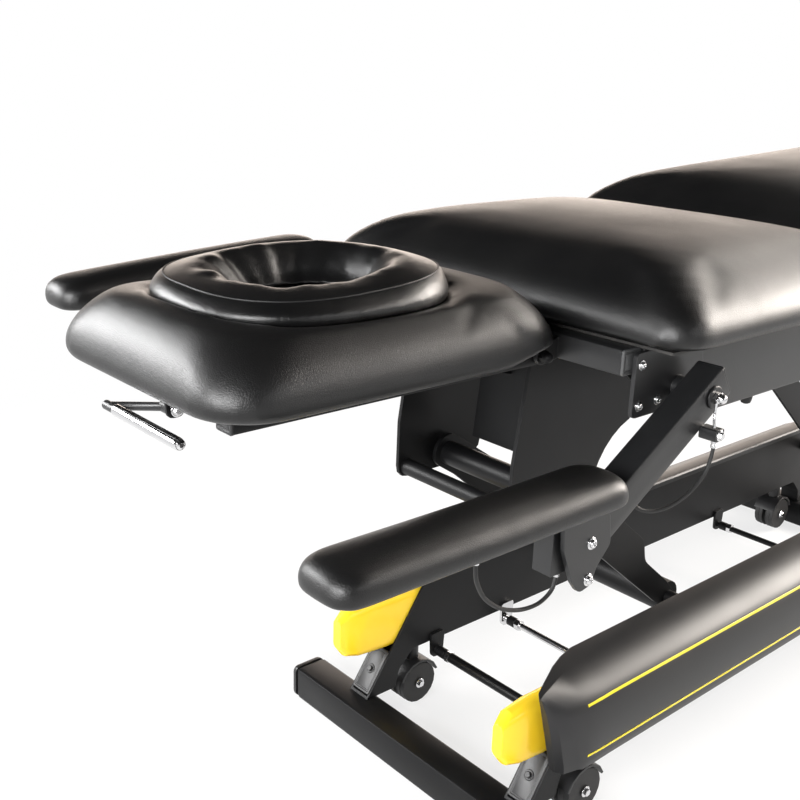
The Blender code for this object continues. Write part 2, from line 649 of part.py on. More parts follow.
def build_deck():
    """Fixed deck frame: rails with hinge ears, front tube, cross tube with web, middle cushion."""
    height = DECK_TOP - RAIL_BOTTOM
    for side, name in ((1, "left"), (-1, "right")):
        middle = (side * (RAIL_Y + RAIL_WIDTH / 2), (DECK_TOP + RAIL_BOTTOM) / 2)
        shape = [square_tube("X", (RAIL_HEAD_X, RAIL_FOOT_X), middle, (RAIL_WIDTH, height), RAIL_WALL)]
        x, z = LEG_HINGE
        ear = rounded([(x - 0.022, DECK_TOP - 0.002), (x + 0.022, DECK_TOP - 0.002), (x + 0.012, z + 0.013),
                       (x - 0.012, z + 0.013)], [0, 0, 0.012, 0.012])
        faces = (side * (RAIL_Y + 0.006), side * (RAIL_Y + 0.012))
        shape.append(("add", plate(ear, faces)))
        corner = [(RAIL_HEAD_X - 0.02, RAIL_BOTTOM - 0.02), (RAIL_HEAD_X + 0.130, RAIL_BOTTOM - 0.02),
                  (RAIL_HEAD_X + 0.100, RAIL_BOTTOM), (RAIL_HEAD_X + 0.012, RAIL_BOTTOM + 0.073),
                  (RAIL_HEAD_X, RAIL_BOTTOM + 0.084), (RAIL_HEAD_X - 0.02, RAIL_BOTTOM + 0.088)]
        shape.append(("cut", plate(corner, (side * (RAIL_Y - 0.01), side * (RAIL_Y + RAIL_WIDTH + 0.01)))))
        shape.append(("cut", cross_rod(LEG_HINGE, (side * RAIL_Y, side * (RAIL_Y + 0.02)),
                                       0.008 + TURN_GAP)))
        build("deck_rail_" + name, shape, "black_steel")
    front = [square_tube("Y", (-0.262, 0.262), (0.0165, DECK_TOP - 0.017), (0.035, 0.034), 0.003)]
    x, z = HEAD_HINGE
    for side in (-1, 1):
        ear = rounded([(0.002, DECK_TOP - 0.033), (0.002, DECK_TOP - 0.004), (x - 0.004, z + 0.012),
                       (x - 0.013, z),
                       (x - 0.004, z - 0.012)], [0, 0, 0.008, 0.01, 0.008])
        faces = (side * (HEAD_RAIL_Y + HEAD_RAIL_SIZE + 0.003),
                 side * (HEAD_RAIL_Y + HEAD_RAIL_SIZE + 0.009))
        front.append(("add", plate(ear, faces)))
        front.append(("cut", cross_rod(HEAD_HINGE, (faces[0] - side * 0.01, faces[1] + side * 0.01),
                                       0.008 + TURN_GAP)))
    build("deck_front_tube", front, "black_steel")
    build("deck_cross_head", cross_head_parts(), "black_steel")
    pad = cushion_rings((MID_LENGTH / 2, MID_HALF_WIDTH), PAD_CORNER, MID_HEIGHT, CROWN,
                        (MID_HEAD_X + MID_LENGTH / 2, 0.0), DECK_TOP + 0.0043, fullness=PAD_FULLNESS)
    board = block((MID_HEAD_X + 0.02, MID_HEAD_X + MID_LENGTH - 0.02),
                  (-MID_HALF_WIDTH + 0.03, MID_HALF_WIDTH - 0.03),
                  (DECK_TOP + GAP, DECK_TOP + 0.004))
    build("mid_board", board, "plywood")
    build("mid_pad", loft(pad), "black_leather")


def cross_head_parts():
    """Cross tube of the deck with the web and the strut ears that hang from it."""
    low = DECK_TOP - 0.040
    parts = [square_tube("Y", (-RAIL_Y + GAP, RAIL_Y - GAP), (0.110, DECK_TOP - 0.020), (0.100, 0.040),
                         0.003)]
    foot = DECK_TOP - 0.220
    web = [(-0.040, low + 0.002), (0.040, low + 0.002), (0.060, foot), (-0.060, foot)]
    parts.append(("add", loft([[(x, y, z) for y, z in web] for x in (0.078, 0.084)])))
    x, z = HEAD_STRUT_DECK
    for side in (-1, 1):
        ear = rounded([(0.080, z + 0.040), (0.080, z - 0.020), (x - 0.002, z - 0.011), (x - 0.010, z),
                       (x - 0.002, z + 0.011)],
                      [0, 0, 0.008, 0.008, 0.008])
        parts.append(("add", plate(ear, (side * 0.0085, side * 0.0125))))
    parts.append(("add", cross_rod(HEAD_STRUT_DECK, (-0.016, 0.016), STRUT_PIN_RADIUS, 16)))
    return parts


def build_strut(name, start, end, body_share, rod_start):
    """Gas spring from a pivot on the fixed side to an open pin on the moving side."""
    length = (Vector(end) - Vector(start)).length

    def on_axis(distance):
        x, z = along_line(start, end, distance, 0.0)
        return (x, 0.0, z)

    pivot = (start[0], 0.0, start[1])
    bore = STRUT_ROD_RADIUS + TURN_GAP
    eye = rounded([along_line(start, end, a, b) for a, b in
                   ((-0.008, -0.008), (0.020, -0.008), (0.020, 0.008), (-0.008, 0.008))],
                  [0.007, 0, 0, 0.007])
    body = [rod(on_axis(0.016), on_axis(length * body_share), STRUT_RADIUS, 20),
            ("add", plate(eye, (-0.0075, 0.0075))),
            ("cut", cross_rod(start, (-0.02, 0.02), STRUT_PIN_RADIUS + TURN_GAP, 16)),
            ("cut", rod(on_axis(0.024), on_axis(length), bore, 16))]
    build(name + "_body", body, "black_steel", pivot=pivot)
    tip = rounded([along_line(start, end, a, b) for a, b in
                   ((length - 0.016, -0.007), (length + 0.008, -0.007), (length + 0.008, 0.007),
                    (length - 0.016, 0.007))],
                  0.004)
    moving = [rod(on_axis(rod_start), on_axis(length - 0.006), STRUT_ROD_RADIUS, 16),
              ("add", plate(tip, (-0.0070, 0.0070))),
              ("add", cross_rod(end, (-0.0165, 0.0165), STRUT_PIN_RADIUS, 16))]
    build(name + "_rod", moving, "bright_steel", pivot=pivot)


def strut_ear(spot, top, reach):
    """Outline of an ear that carries the open strut pin under a cross tube."""
    x, z = spot
    return rounded([(x - reach, top), (x + reach, top), (x + 0.015, z - 0.006), (x, z - 0.0155),
                    (x - 0.015, z - 0.006)],
                   [0, 0, 0.008, 0.012, 0.008])


def round_face(outline, count=42):
    """Points where rays from the face hole's centre leave a plan outline, at even angles."""
    points = []
    for i in range(count):
        angle = 2.0 * math.pi * i / count
        way = Vector((math.cos(angle), math.sin(angle)))
        reach = 0.0
        for first, last in zip(outline, outline[1:] + outline[:1]):
            start = Vector(first) - Vector((FACE_X, 0.0))
            edge = Vector(last) - Vector(first)
            across = way.cross(edge)
            if abs(across) < 1e-12:
                continue
            far = start.cross(edge) / across
            share = start.cross(way) / across
            if far > 0.0 and -1e-6 <= share <= 1.000001:
                reach = max(reach, far)
        points.append((FACE_X + way.x * reach, way.y * reach))
    return points


def head_outline(inset):
    """Plan outline of the head cushion, drawn in by inset."""
    centre = ((HEAD_FRONT_X + HEAD_REAR_X) / 2, 0.0)
    half = ((HEAD_REAR_X - HEAD_FRONT_X) / 2 - inset, HEAD_HALF_WIDTH - inset)
    return round_face(rounded_box_outline(half[0], half[1], max(0.070 - inset, 0.008), 11, centre))


def oval(half, count=42):
    """Oval round the face hole at the same angles as the cushion outline."""
    points = []
    for i in range(count):
        angle = 2.0 * math.pi * i / count
        reach = 1.0 / math.hypot(math.cos(angle) / half[0], math.sin(angle) / half[1])
        points.append((FACE_X + reach * math.cos(angle), reach * math.sin(angle)))
    return points


def lip_drop(x):
    """How far the head cushion's lip hangs below its board at a place along the table."""
    share = min(1.0, max(0.0, (HEAD_HINGE[0] - 0.040 - x) / 0.060))
    return HEAD_LIP * share


def head_pad_rings():
    """Rings of the head cushion: hanging lip, domed skin, recess for the face cushion, face hole, underside."""
    rings = []
    for inset, level in ((0.0185, 0.0), (0.0185, -0.85), (0.010, -1.0), (0.002, -0.55)):
        outline = head_outline(inset)
        rings.append([(x, y, HEAD_BOTTOM + level * lip_drop(x)) for x, y in outline])
    for inset, level in ((0.0, 0.10), (0.002, 0.30), (0.007, 0.50), (0.016, 0.70), (0.028, 0.87), (0.040, 0.97)):
        rings.append([(x, y, HEAD_BOTTOM + level * HEAD_HEIGHT) for x, y in head_outline(inset)])
    top = HEAD_BOTTOM + HEAD_HEIGHT
    floor = top - FACE_RECESS
    for grow, level in ((0.0045, top + 0.001), (0.0015, top - 0.003), (0.0015, floor)):
        half = (FACE_HALF[0] + grow, FACE_HALF[1] + grow)
        rings.append([(x, y, level) for x, y in oval(half)])
    for level in (floor, HEAD_BOTTOM):
        rings.append([(x, y, level) for x, y in oval(FACE_HOLE_HALF)])
    return rings


def face_cushion_rings(count=42):
    """Rings of the face cushion: upright outer band, rolled rim, sloping crater round the hole."""
    base = HEAD_BOTTOM + HEAD_HEIGHT - FACE_RECESS + GAP
    tall = FACE_RECESS + FACE_RISE
    rings = []
    for inset, level in ((0.004, 0.0), (0.0, 0.15), (0.0, 0.62), (0.004, 0.82), (0.014, 0.96),
                         (0.030, 1.0), (0.048, 0.93),
                         (0.064, 0.70), (0.078, 0.40), (0.088, 0.12), (0.0885, 0.0)):
        share = inset / 0.0885
        half_x = FACE_HALF[0] - share * (FACE_HALF[0] - FACE_HOLE_HALF[0])
        half_y = FACE_HALF[1] - share * (FACE_HALF[1] - FACE_HOLE_HALF[1])
        ring = [(x, y, base + level * tall) for x, y in oval((half_x, half_y), count)]
        rings.append(ring)
    return rings


def build_head():
    """Head section: rails, hinge tube, board, cushion, face cushion, release lever and gas spring."""
    size = HEAD_RAIL_SIZE
    hinge = (HEAD_HINGE[0], 0.0, HEAD_HINGE[1])
    end = HEAD_RAIL_Y + size + 0.0095
    top = HEAD_HINGE[1] + size / 2
    x, z = HEAD_STRUT_HEAD
    inside = HEAD_RAIL_Y + 0.001
    frame = [square_tube("X", (-0.484, -0.012), (HEAD_RAIL_Y + size / 2, HEAD_HINGE[1]), (size, size),
                         0.0025),
             ("add", square_tube("X", (-0.484, -0.012), (-HEAD_RAIL_Y - size / 2, HEAD_HINGE[1]),
                                 (size, size), 0.0025)),
             ("add", cross_rod(HEAD_HINGE, (-inside, inside), 0.013, 16)),
             ("add", cross_rod(HEAD_HINGE, (-end, end), 0.008, 16)),
             ("add", block((x - 0.015, x + 0.015), (-inside, inside),
                           (HEAD_HINGE[1] - 0.014, HEAD_HINGE[1] + 0.014)))]
    for side in (-1, 1):
        ear = strut_ear((x, z), HEAD_HINGE[1] - 0.012, 0.013)
        frame.append(("add", plate(ear, (side * 0.0085, side * 0.0125))))
    frame.append(("cut", cross_rod((x, z), (-0.02, 0.02), STRUT_PIN_RADIUS + STRUT_SLOT, 20)))
    build("head_frame", frame, "black_steel", pivot=hinge)
    middle = ((HEAD_FRONT_X + HEAD_REAR_X) / 2, 0.0)
    guide = round_face(rounded_box_outline(0.230, 0.178, 0.050, 11, middle))
    hole = oval((FACE_HOLE_HALF[0] + 0.002, FACE_HOLE_HALF[1] + 0.002))
    low, high = top + GAP, HEAD_BOTTOM - GAP
    board = loop_loft([[(px, py, level) for px, py in outline] for outline, level in
                       ((guide, low), (guide, high), (hole, high), (hole, low))])
    build("head_board", board, "plywood", pivot=hinge)
    build("head_pad", loop_loft(head_pad_rings()), "black_leather", pivot=hinge)
    build("face_cushion", loop_loft(face_cushion_rings()), "black_leather", pivot=hinge)
    build_release_lever(low)
    build_strut("head_strut", HEAD_STRUT_DECK, HEAD_STRUT_HEAD, 0.60, 0.128)


def build_release_lever(board_low):
    """Release lever under the head end: bracket on the board, bent lever with a bright grip."""
    x, z = LEVER_HINGE
    bracket = [block((x - 0.020, x + 0.030), (-0.030, 0.030), (board_low - 0.0033, board_low - GAP))]
    outline = rounded([(x - 0.014, board_low - 0.001), (x + 0.022, board_low - 0.001), (x + 0.010, z - 0.010),
                       (x - 0.010, z - 0.010)], [0, 0, 0.009, 0.009])
    bracket.append(("add", plate(outline, (-0.014, -0.010))))
    bracket.append(("add", cross_rod(LEVER_HINGE, (-0.018, 0.0065), 0.004, 16)))
    build("lever_bracket", bracket, "black_steel", pivot=(HEAD_HINGE[0], 0.0, HEAD_HINGE[1]))
    grip_x = x - 0.041
    grip_z = z - 0.009
    hub = arc((x, z), 0.0095, 0.0, 337.5, 15)
    lever = [plate(hub, (-0.0085, 0.0065)),
             ("add", rod((x - 0.003, 0.0005, z), (grip_x, 0.0655, grip_z), 0.0052, 12)),
             ("add", rod((grip_x, 0.0715, grip_z), (grip_x, -0.097, grip_z), 0.0058, 16)),
             ("cut", cross_rod(LEVER_HINGE, (-0.02, 0.02), 0.004 + TURN_GAP, 16))]
    build("release_lever", lever, "bright_steel", pivot=(x, 0.0, z))


def build_leg():
    """Leg section: frame on a hinge tube, board, cushion and gas spring."""
    tilt = turn_about(LEG_HINGE, -LEG_REST_TILT)
    hinge = (LEG_HINGE[0], 0.0, LEG_HINGE[1])
    x, z = LEG_HINGE
    half = 0.0125
    rail_y = 0.200
    flat = tilt.inverted() @ Vector((LEG_STRUT_LEG[0], 0.0, LEG_STRUT_LEG[1]))
    inside = rail_y + 0.001
    size = (0.025, 2 * half)
    frame = [square_tube("X", (x - 0.014, x + 0.800), (rail_y + 0.0125, z), size, 0.002),
             ("add", square_tube("X", (x - 0.014, x + 0.800), (-rail_y - 0.0125, z), size, 0.002)),
             ("add", cross_rod(LEG_HINGE, (-inside, inside), 0.0115, 16)),
             ("add", cross_rod(LEG_HINGE, (-RAIL_Y - 0.0125, RAIL_Y + 0.0125), 0.008, 16)),
             ("add", block((flat.x - 0.0125, flat.x + 0.0125), (-inside, inside),
                           (z - 0.0115, z + 0.0115))),
             ("add", block((x + 0.768, x + 0.792), (-inside, inside), (z - 0.0115, z + 0.0115)))]
    for side in (-1, 1):
        ear = strut_ear((flat.x, flat.z), z - 0.010, 0.011)
        frame.append(("add", plate(ear, (side * 0.0085, side * 0.0125))))
    frame.append(("cut", cross_rod((flat.x, flat.z), (-0.02, 0.02), STRUT_PIN_RADIUS + STRUT_SLOT, 20)))
    build("leg_frame", frame, "black_steel", pivot=hinge, move=tilt)
    low = z + half + GAP
    board = block((x + 0.014, x + LEG_LENGTH - 0.03), (-MID_HALF_WIDTH + 0.03, MID_HALF_WIDTH - 0.03),
                  (low, low + 0.006))
    build("leg_board", board, "plywood", pivot=hinge, move=tilt)
    pad = cushion_rings((LEG_LENGTH / 2, MID_HALF_WIDTH), PAD_CORNER, LEG_HEIGHT, CROWN,
                        (x - 0.002 + LEG_LENGTH / 2, 0.0), low + 0.006 + GAP, fullness=PAD_FULLNESS)
    build("leg_pad", loft(pad), "black_leather", pivot=hinge, move=tilt)
    build_strut("leg_strut", LEG_STRUT_DECK, LEG_STRUT_LEG, 0.68, 0.040)


def cable(name, points, pivot, move):
    """Bowden cable as a bevelled line through smooth points."""
    smooth = []
    spots = [Vector(p) for p in points]
    for i in range(len(spots) - 1):
        before = spots[max(i - 1, 0)]
        after = spots[min(i + 2, len(spots) - 1)]
        first, last = spots[i], spots[i + 1]
        steps = max(2, int((last - first).length / (4.8 * CABLE_RADIUS) + 0.5))
        for k in range(steps):
            t = k / steps
            t2, t3 = t * t, t * t * t
            curve = (2 * before - 5 * first + 4 * last - after) * t2 + (3 * first - before - 3 * last + after) * t3
            smooth.append(0.5 * (2 * first + (last - before) * t + curve))
    smooth.append(spots[-1])
    line = bpy.data.curves.new(name, "CURVE")
    line.dimensions = "3D"
    line.bevel_depth = CABLE_RADIUS
    line.bevel_resolution = 1
    line.use_fill_caps = True
    spline = line.splines.new("POLY")
    spline.points.add(len(smooth) - 1)
    origin = Vector((pivot[0] - CENTRE_X, pivot[1], pivot[2]))
    for slot, spot in zip(spline.points, smooth):
        placed = move @ spot - Vector((CENTRE_X, 0.0, 0.0)) - origin
        slot.co = (*placed, 1.0)
    thing = bpy.data.objects.new(name, line)
    thing.location = origin
    line.materials.append(material("black_rubber"))
    bpy.context.scene.collection.objects.link(thing)


def build_armrest(side, name, raised):
    """Armrest: bracket, swinging tube, pad carrier and cushion; cables on the side that shows them."""
    swing = turn_about(ARMREST_PIVOT, ARMREST_RAISE if raised else 0.0)
    level = swing @ turn_about(ARMREST_PAD_PIVOT, ARMREST_LEVEL_RATIO * ARMREST_RAISE if raised else 0.0)
    y = side * ARMREST_Y
    outer = y + side * ARMREST_TUBE[0] / 2
    inner = y - side * ARMREST_TUBE[0] / 2
    px, pz = ARMREST_PIVOT
    rail_face = side * (RAIL_Y + RAIL_WIDTH + GAP)
    sheet = rail_face + side * 0.006
    low, high = DECK_TOP - 0.088, DECK_TOP - 0.004
    outline = rounded([(0.012, low), (0.150, low), (0.160, low + 0.036), (0.150, high), (0.012, high)],
                      [0.008, 0.02, 0.02, 0.01, 0.008])
    bracket = [plate(outline, (rail_face, sheet)),
               ("add", cross_rod(ARMREST_PIVOT, (sheet - side * 0.002, inner - side * 0.0006), 0.016)),
               ("add", cross_rod(ARMREST_PIVOT, (inner - side * 0.002, outer + side * 0.004), 0.008))]
    build("armrest_bracket_" + name, bracket, "black_steel")
    pivot = (px, 0.0, pz)
    build("armrest_tube_" + name, armrest_tube_parts(side), "black_steel", pivot=pivot, move=swing)
    pad_spot = level @ Vector((ARMREST_PAD_PIVOT[0], 0.0, ARMREST_PAD_PIVOT[1]))
    pad_pivot = (pad_spot.x, 0.0, pad_spot.z)
    shift = ARMREST_PAD_SETBACK_LEFT if raised else 0.0
    carrier = armrest_carrier_parts(side, shift)
    build("armrest_carrier_" + name, carrier, "black_steel", pivot=pad_pivot, move=level)
    pad = cushion_rings(ARM_PAD_HALF, 0.030, ARM_PAD_HEIGHT, 0.008,
                        (ARMREST_PAD_X + shift, side * ARM_PAD_Y),
                        ARMREST_PAD_BOTTOM + GAP, 6, ARM_PAD_FULLNESS)
    build("armrest_pad_" + name, loft(pad), "black_leather", pivot=pad_pivot, move=level)
    if not raised:
        top = CABLE_BLOCK_Z
        upper = [(0.0925, side * 0.345, top), (0.0925, side * 0.345, top - 0.0175),
                 (0.084, side * 0.343, top - 0.0435),
                 (0.062, side * 0.338, top - 0.0655), (0.036, side * 0.331, top - 0.0785),
                 (0.013, side * 0.322, top - 0.0830), (-0.0045, side * 0.314, top - 0.0785),
                 (-0.0160, side * 0.310, top - 0.0674), (-0.0228, side * 0.310, top - 0.0564)]
        cable("cable_upper", upper, pivot, swing)
        low = ARMREST_PAD_BOTTOM
        lower = [(-0.157, side * 0.315, low - 0.0745), (-0.157, side * 0.315, low - 0.086),
                 (-0.164, side * 0.315, low - 0.101), (-0.184, side * 0.314, low - 0.111),
                 (-0.213, side * 0.312, low - 0.110), (-0.244, side * 0.311, low - 0.098),
                 (-0.269, side * 0.310, low - 0.078), (-0.283, side * 0.310, low - 0.054),
                 (-0.286, side * 0.310, low - 0.036), (-0.286, side * 0.310, low - 0.0223)]
        cable("cable_lower", lower, pad_pivot, level)


def armrest_tube_parts(side):
    """Swinging tube with holes for both pivots and the cable block near its top."""
    y = side * ARMREST_Y
    half = ARMREST_TUBE[0] / 2
    deep = ARMREST_TUBE[1] / 2
    length = (Vector(ARMREST_PAD_PIVOT) - Vector(ARMREST_PIVOT)).length

    def ring(width, depth, forward):
        out = []
        for a, b in rounded_box_outline(width, depth, min(width, depth) * 0.2, 4):
            x, z = along_line(ARMREST_PIVOT, ARMREST_PAD_PIVOT, forward, b)
            out.append((x, y + a, z))
        return out

    wall = 0.003
    rings = [ring(half, deep, -0.030), ring(half, deep, length + 0.022),
             ring(half - wall, deep - wall, length + 0.022), ring(half - wall, deep - wall, -0.030)]
    block_x, block_z = 0.0925, CABLE_BLOCK_Z + GAP
    face = y + side * half
    parts = [loop_loft(rings),
             ("add", plate(rounded([(block_x - 0.009, block_z), (block_x + 0.009, block_z),
                                    (block_x + 0.009, block_z + 0.016),
                                    (block_x - 0.009, block_z + 0.016)], 0.004),
                      (face - side * 0.002, face + side * 0.0225)))]
    for spot in (ARMREST_PIVOT, ARMREST_PAD_PIVOT):
        parts.append(("cut", cross_rod(spot, (y - 0.04, y + 0.04), 0.008 + TURN_GAP)))
    return parts


def armrest_carrier_parts(side, shift):
    """Pad carrier: mounting plate, outer cheek with the pivot pin, lock box."""
    y = side * ARMREST_Y
    half = ARMREST_TUBE[0] / 2
    face = y + side * (half + GAP)
    sheet = face + side * 0.006
    top = ARMREST_PAD_BOTTOM
    cheek = rounded([(-0.176, top - 0.004), (-0.172, top - 0.042), (-0.154, top - 0.085),
                     (-0.140, top - 0.103),
                     (-0.120, top - 0.099), (-0.110, top - 0.077), (-0.088, top - 0.054), (-0.094,
                                                            top - 0.012),
                     (-0.118, top - 0.004)], [0, 0.02, 0.02, 0.012, 0.012, 0.02, 0.012, 0.012, 0])
    lock_y = y + side * 0.002
    parts = [block((-0.430 + shift, -0.118), (y - 0.022, y + 0.022), (top - 0.0065, top)),
             ("add", plate(cheek, (face, sheet))),
             ("add", block((-0.176, -0.118), (min(y, sheet), max(y, sheet)), (top - 0.0065, top - 0.001))),
             ("add", cross_rod(ARMREST_PAD_PIVOT, (sheet - side * 0.003, y - side * (half + 0.004)),
                               0.008)),
             ("add", block((-0.180, -0.150), (lock_y - 0.014, lock_y + 0.014),
                           (top - 0.0742, top - 0.005))),
             ("add", block((-0.294, -0.278), (y - 0.008, y + 0.008), (top - 0.022, top - 0.003)))]
    return parts


def build_leg_anchor():
    """Cross tube between the deck rails that carries the lower end of the leg gas spring."""
    x, z = LEG_STRUT_DECK
    tube = [square_tube("Y", (-RAIL_Y + GAP, RAIL_Y - GAP), (x - 0.032, z), (0.025, 0.040), 0.0025)]
    ear = rounded([(x - 0.022, z + 0.014), (x - 0.022, z - 0.014), (x + 0.003, z - 0.010), (x + 0.010, z),
                   (x + 0.003, z + 0.010)],
                  [0, 0, 0.007, 0.008, 0.007])
    for side in (-1, 1):
        tube.append(("add", plate(ear, (side * 0.0085, side * 0.0125))))
    tube.append(("add", cross_rod(LEG_STRUT_DECK, (-0.016, 0.016), STRUT_PIN_RADIUS)))
    build("deck_cross_middle", tube, "black_steel")


def main():
    """Build the whole table in its photographed pose."""
    clear_scene()
    build_base(1, "left")
    build_base(-1, "right")
    build_feet()
    build_tie_rods()
    for end, x in zip(("head", "foot"), CASTOR_X):
        build_castor(end + "_left", x, 1)
        build_castor(end + "_right", x, -1)
    build_lift_arm("head", 0.0, False)
    build_lift_arm("foot", ARM_PITCH, True)
    build_drive()
    build_drop_brackets()
    build_deck()
    build_leg_anchor()
    build_head()
    build_leg()
    build_armrest(-1, "right", False)
    build_armrest(1, "left", True)


main()
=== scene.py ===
import logging
import math
from dataclasses import dataclass, field
from enum import Enum
from typing import Callable, Sequence, Union

import bmesh
import bpy
from mathutils import Matrix, Vector
from mathutils.bvhtree import BVHTree


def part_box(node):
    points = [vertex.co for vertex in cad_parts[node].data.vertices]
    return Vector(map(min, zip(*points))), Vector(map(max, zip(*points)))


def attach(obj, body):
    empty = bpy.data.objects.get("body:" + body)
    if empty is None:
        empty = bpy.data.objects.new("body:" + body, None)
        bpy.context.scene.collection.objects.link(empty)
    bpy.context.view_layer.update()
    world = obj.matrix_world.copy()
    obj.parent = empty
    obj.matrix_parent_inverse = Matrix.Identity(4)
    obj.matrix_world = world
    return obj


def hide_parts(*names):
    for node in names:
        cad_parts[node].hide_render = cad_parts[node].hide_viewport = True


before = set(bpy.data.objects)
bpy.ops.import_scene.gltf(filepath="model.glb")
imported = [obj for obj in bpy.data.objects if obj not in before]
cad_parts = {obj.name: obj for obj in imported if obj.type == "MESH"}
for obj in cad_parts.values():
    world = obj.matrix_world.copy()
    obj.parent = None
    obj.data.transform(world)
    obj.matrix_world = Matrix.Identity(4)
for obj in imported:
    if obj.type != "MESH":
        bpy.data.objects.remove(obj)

log = logging.getLogger("massage_table")

Pair = tuple[float, float]
Point = tuple[float, float, float]
Colour = tuple[float, float, float]
Pairs = tuple[Pair, ...]
Points = tuple[Point, ...]

# Lengths along the table are measured from the head edge of the middle cushion, as in the part.
CENTRE_X = 0.46505
SHIFT = Matrix.Translation((-CENTRE_X, 0.0, 0.0))
ARM_PIVOT: Pair = (0.105, 0.690)
ARM_PAD_PIVOT: Pair = (-0.117, 0.552)
ARM_Y = 0.310
ARM_RAISE = 38.5
ARM_LEVEL_RATIO = -1.10
LEG_HINGE: Pair = (0.610, 0.768)
LEG_TILT = 3.2
HEAD_HINGE: Pair = (-0.030, 0.726)

# Directions of the table, and a distance beyond its sides.
TO_HEAD: Point = (-1.0, 0.0, 0.0)
TO_FOOT: Point = (1.0, 0.0, 0.0)
DOWN: Point = (0.0, 0.0, -1.0)
FAR_OUT = 0.5

# Edges above this angle in degrees stay hard on the small pieces.
HARD_EDGE = 32.0

# How the covers behave while they are filled, and for how many frames.
CLOTH = {"quality": 4, "mass": 0.4, "tension_stiffness": 18.0, "compression_stiffness": 18.0,
         "shear_stiffness": 8.0, "bending_stiffness": 1.2, "use_pressure": True,
         "vertex_group_mass": "held"}
FILL_FRAMES = 20

# Smallest length or product that counts, and the slack of a share at its ends.
TINY = 1e-12
SLACK = 1e-6


class Slot(Enum):
    """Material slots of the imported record."""

    STEEL = "black_steel"
    BRIGHT = "bright_steel"
    LEATHER = "black_leather"
    PLASTIC = "black_plastic"
    YELLOW = "yellow_plastic"
    BOARD = "plywood"
    ALUMINIUM = "grey_aluminium"
    RUBBER = "black_rubber"


class Hide(Enum):
    """Leathers of the cushions."""

    TABLE = "table"
    FACE = "face"


class Side(Enum):
    """Sides of the table, with the sign of Y on each."""

    LEFT = 1
    RIGHT = -1

    @property
    def word(self) -> str:
        """Name of the side as it stands in node names."""
        return self.name.lower()

    @property
    def out(self) -> Point:
        """Direction away from the table on this side."""
        return (0.0, float(self.value), 0.0)

    def mirror(self, spot: Point) -> Point:
        """Spot of the left side moved to this side."""
        return (spot[0], self.value * spot[1], spot[2])


def turn_about(pivot: Pair, degrees: float) -> Matrix:
    """Turn about a cross axis.

    Args:
        pivot: X and Z of the axis, X from the cushion's edge.
        degrees: Angle; positive lifts the head side.

    Returns:
        The turn as a matrix.
    """
    spot = Vector((pivot[0], 0.0, pivot[1]))
    turn = Matrix.Rotation(math.radians(degrees), 4, "Y")
    return Matrix.Translation(spot) @ turn @ Matrix.Translation(-spot)


def aim(spot: Sequence[float], axis: Sequence[float], spin: float = 0.0) -> Matrix:
    """Place for a shape on local Z: origin at a spot, Z along an axis, turned about it by degrees."""
    turn = Vector(axis).to_track_quat("Z", "Y").to_matrix().to_4x4()
    return Matrix.Translation(Vector(spot)) @ turn @ Matrix.Rotation(math.radians(spin), 4, "Z")


def arm_places(side: Side) -> tuple[Matrix, Matrix]:
    """Where an arm stands in the photographed pose; both are drawn lowered and the left one is raised.

    Args:
        side: Which arm.

    Returns:
        Move of the arm and move of its pad.
    """
    if side is Side.RIGHT:
        return Matrix.Identity(4), Matrix.Identity(4)
    swing = turn_about(ARM_PIVOT, ARM_RAISE)
    return swing, swing @ turn_about(ARM_PAD_PIVOT, ARM_LEVEL_RATIO * ARM_RAISE)


def angles(count: int) -> list[float]:
    """Even angles round a full turn."""
    return [2.0 * math.pi * i / count for i in range(count)]


def eased(value: float, start: float, span: float) -> float:
    """Straight share from 0 at the start to 1 at the end of a span."""
    return max(0.0, min(1.0, (value - start) / span))


def put(name: str, data: bpy.types.ID) -> bpy.types.Object:
    """Put a new object into the scene.

    Args:
        name: Its name.
        data: Its mesh, curve, lamp or camera.

    Returns:
        The object.
    """
    thing = bpy.data.objects.new(name, data)
    bpy.context.scene.collection.objects.link(thing)
    return thing


class Wire:
    """One output of a node graph; arithmetic on it adds math nodes."""

    def __init__(self, graph: "Graph", socket: bpy.types.NodeSocket) -> None:
        """Wrap a socket of a graph."""
        self.graph = graph
        self.socket = socket

    def calc(self, operation: str, *values: "Level") -> "Wire":
        """Result of one math node on values in order."""
        return self.graph.add("ShaderNodeMath", {"operation": operation}, dict(enumerate(values)))

    def __add__(self, other: "Level") -> "Wire":
        """Sum."""
        return self.calc("ADD", self, other)

    def __radd__(self, other: "Level") -> "Wire":
        """Sum with a number on the left."""
        return self.calc("ADD", other, self)

    def __sub__(self, other: "Level") -> "Wire":
        """Difference."""
        return self.calc("SUBTRACT", self, other)

    def __rsub__(self, other: "Level") -> "Wire":
        """Difference from a number."""
        return self.calc("SUBTRACT", other, self)

    def __mul__(self, other: "Level") -> "Wire":
        """Product."""
        return self.calc("MULTIPLY", self, other)

    def __rmul__(self, other: "Level") -> "Wire":
        """Product with a number on the left."""
        return self.calc("MULTIPLY", other, self)

    def highest(self, other: "Level") -> "Wire":
        """Larger of two values."""
        return self.calc("MAXIMUM", self, other)

    def step(self, low: float, high: float) -> "Wire":
        """Share from 0 at the low value to 1 at the high one, eased at both ends."""
        limits = {"Value": self, "From Min": low, "From Max": high}
        return self.graph.add("ShaderNodeMapRange", {"interpolation_type": "SMOOTHSTEP"}, limits)


Level = Union[Wire, float, int, str, tuple]


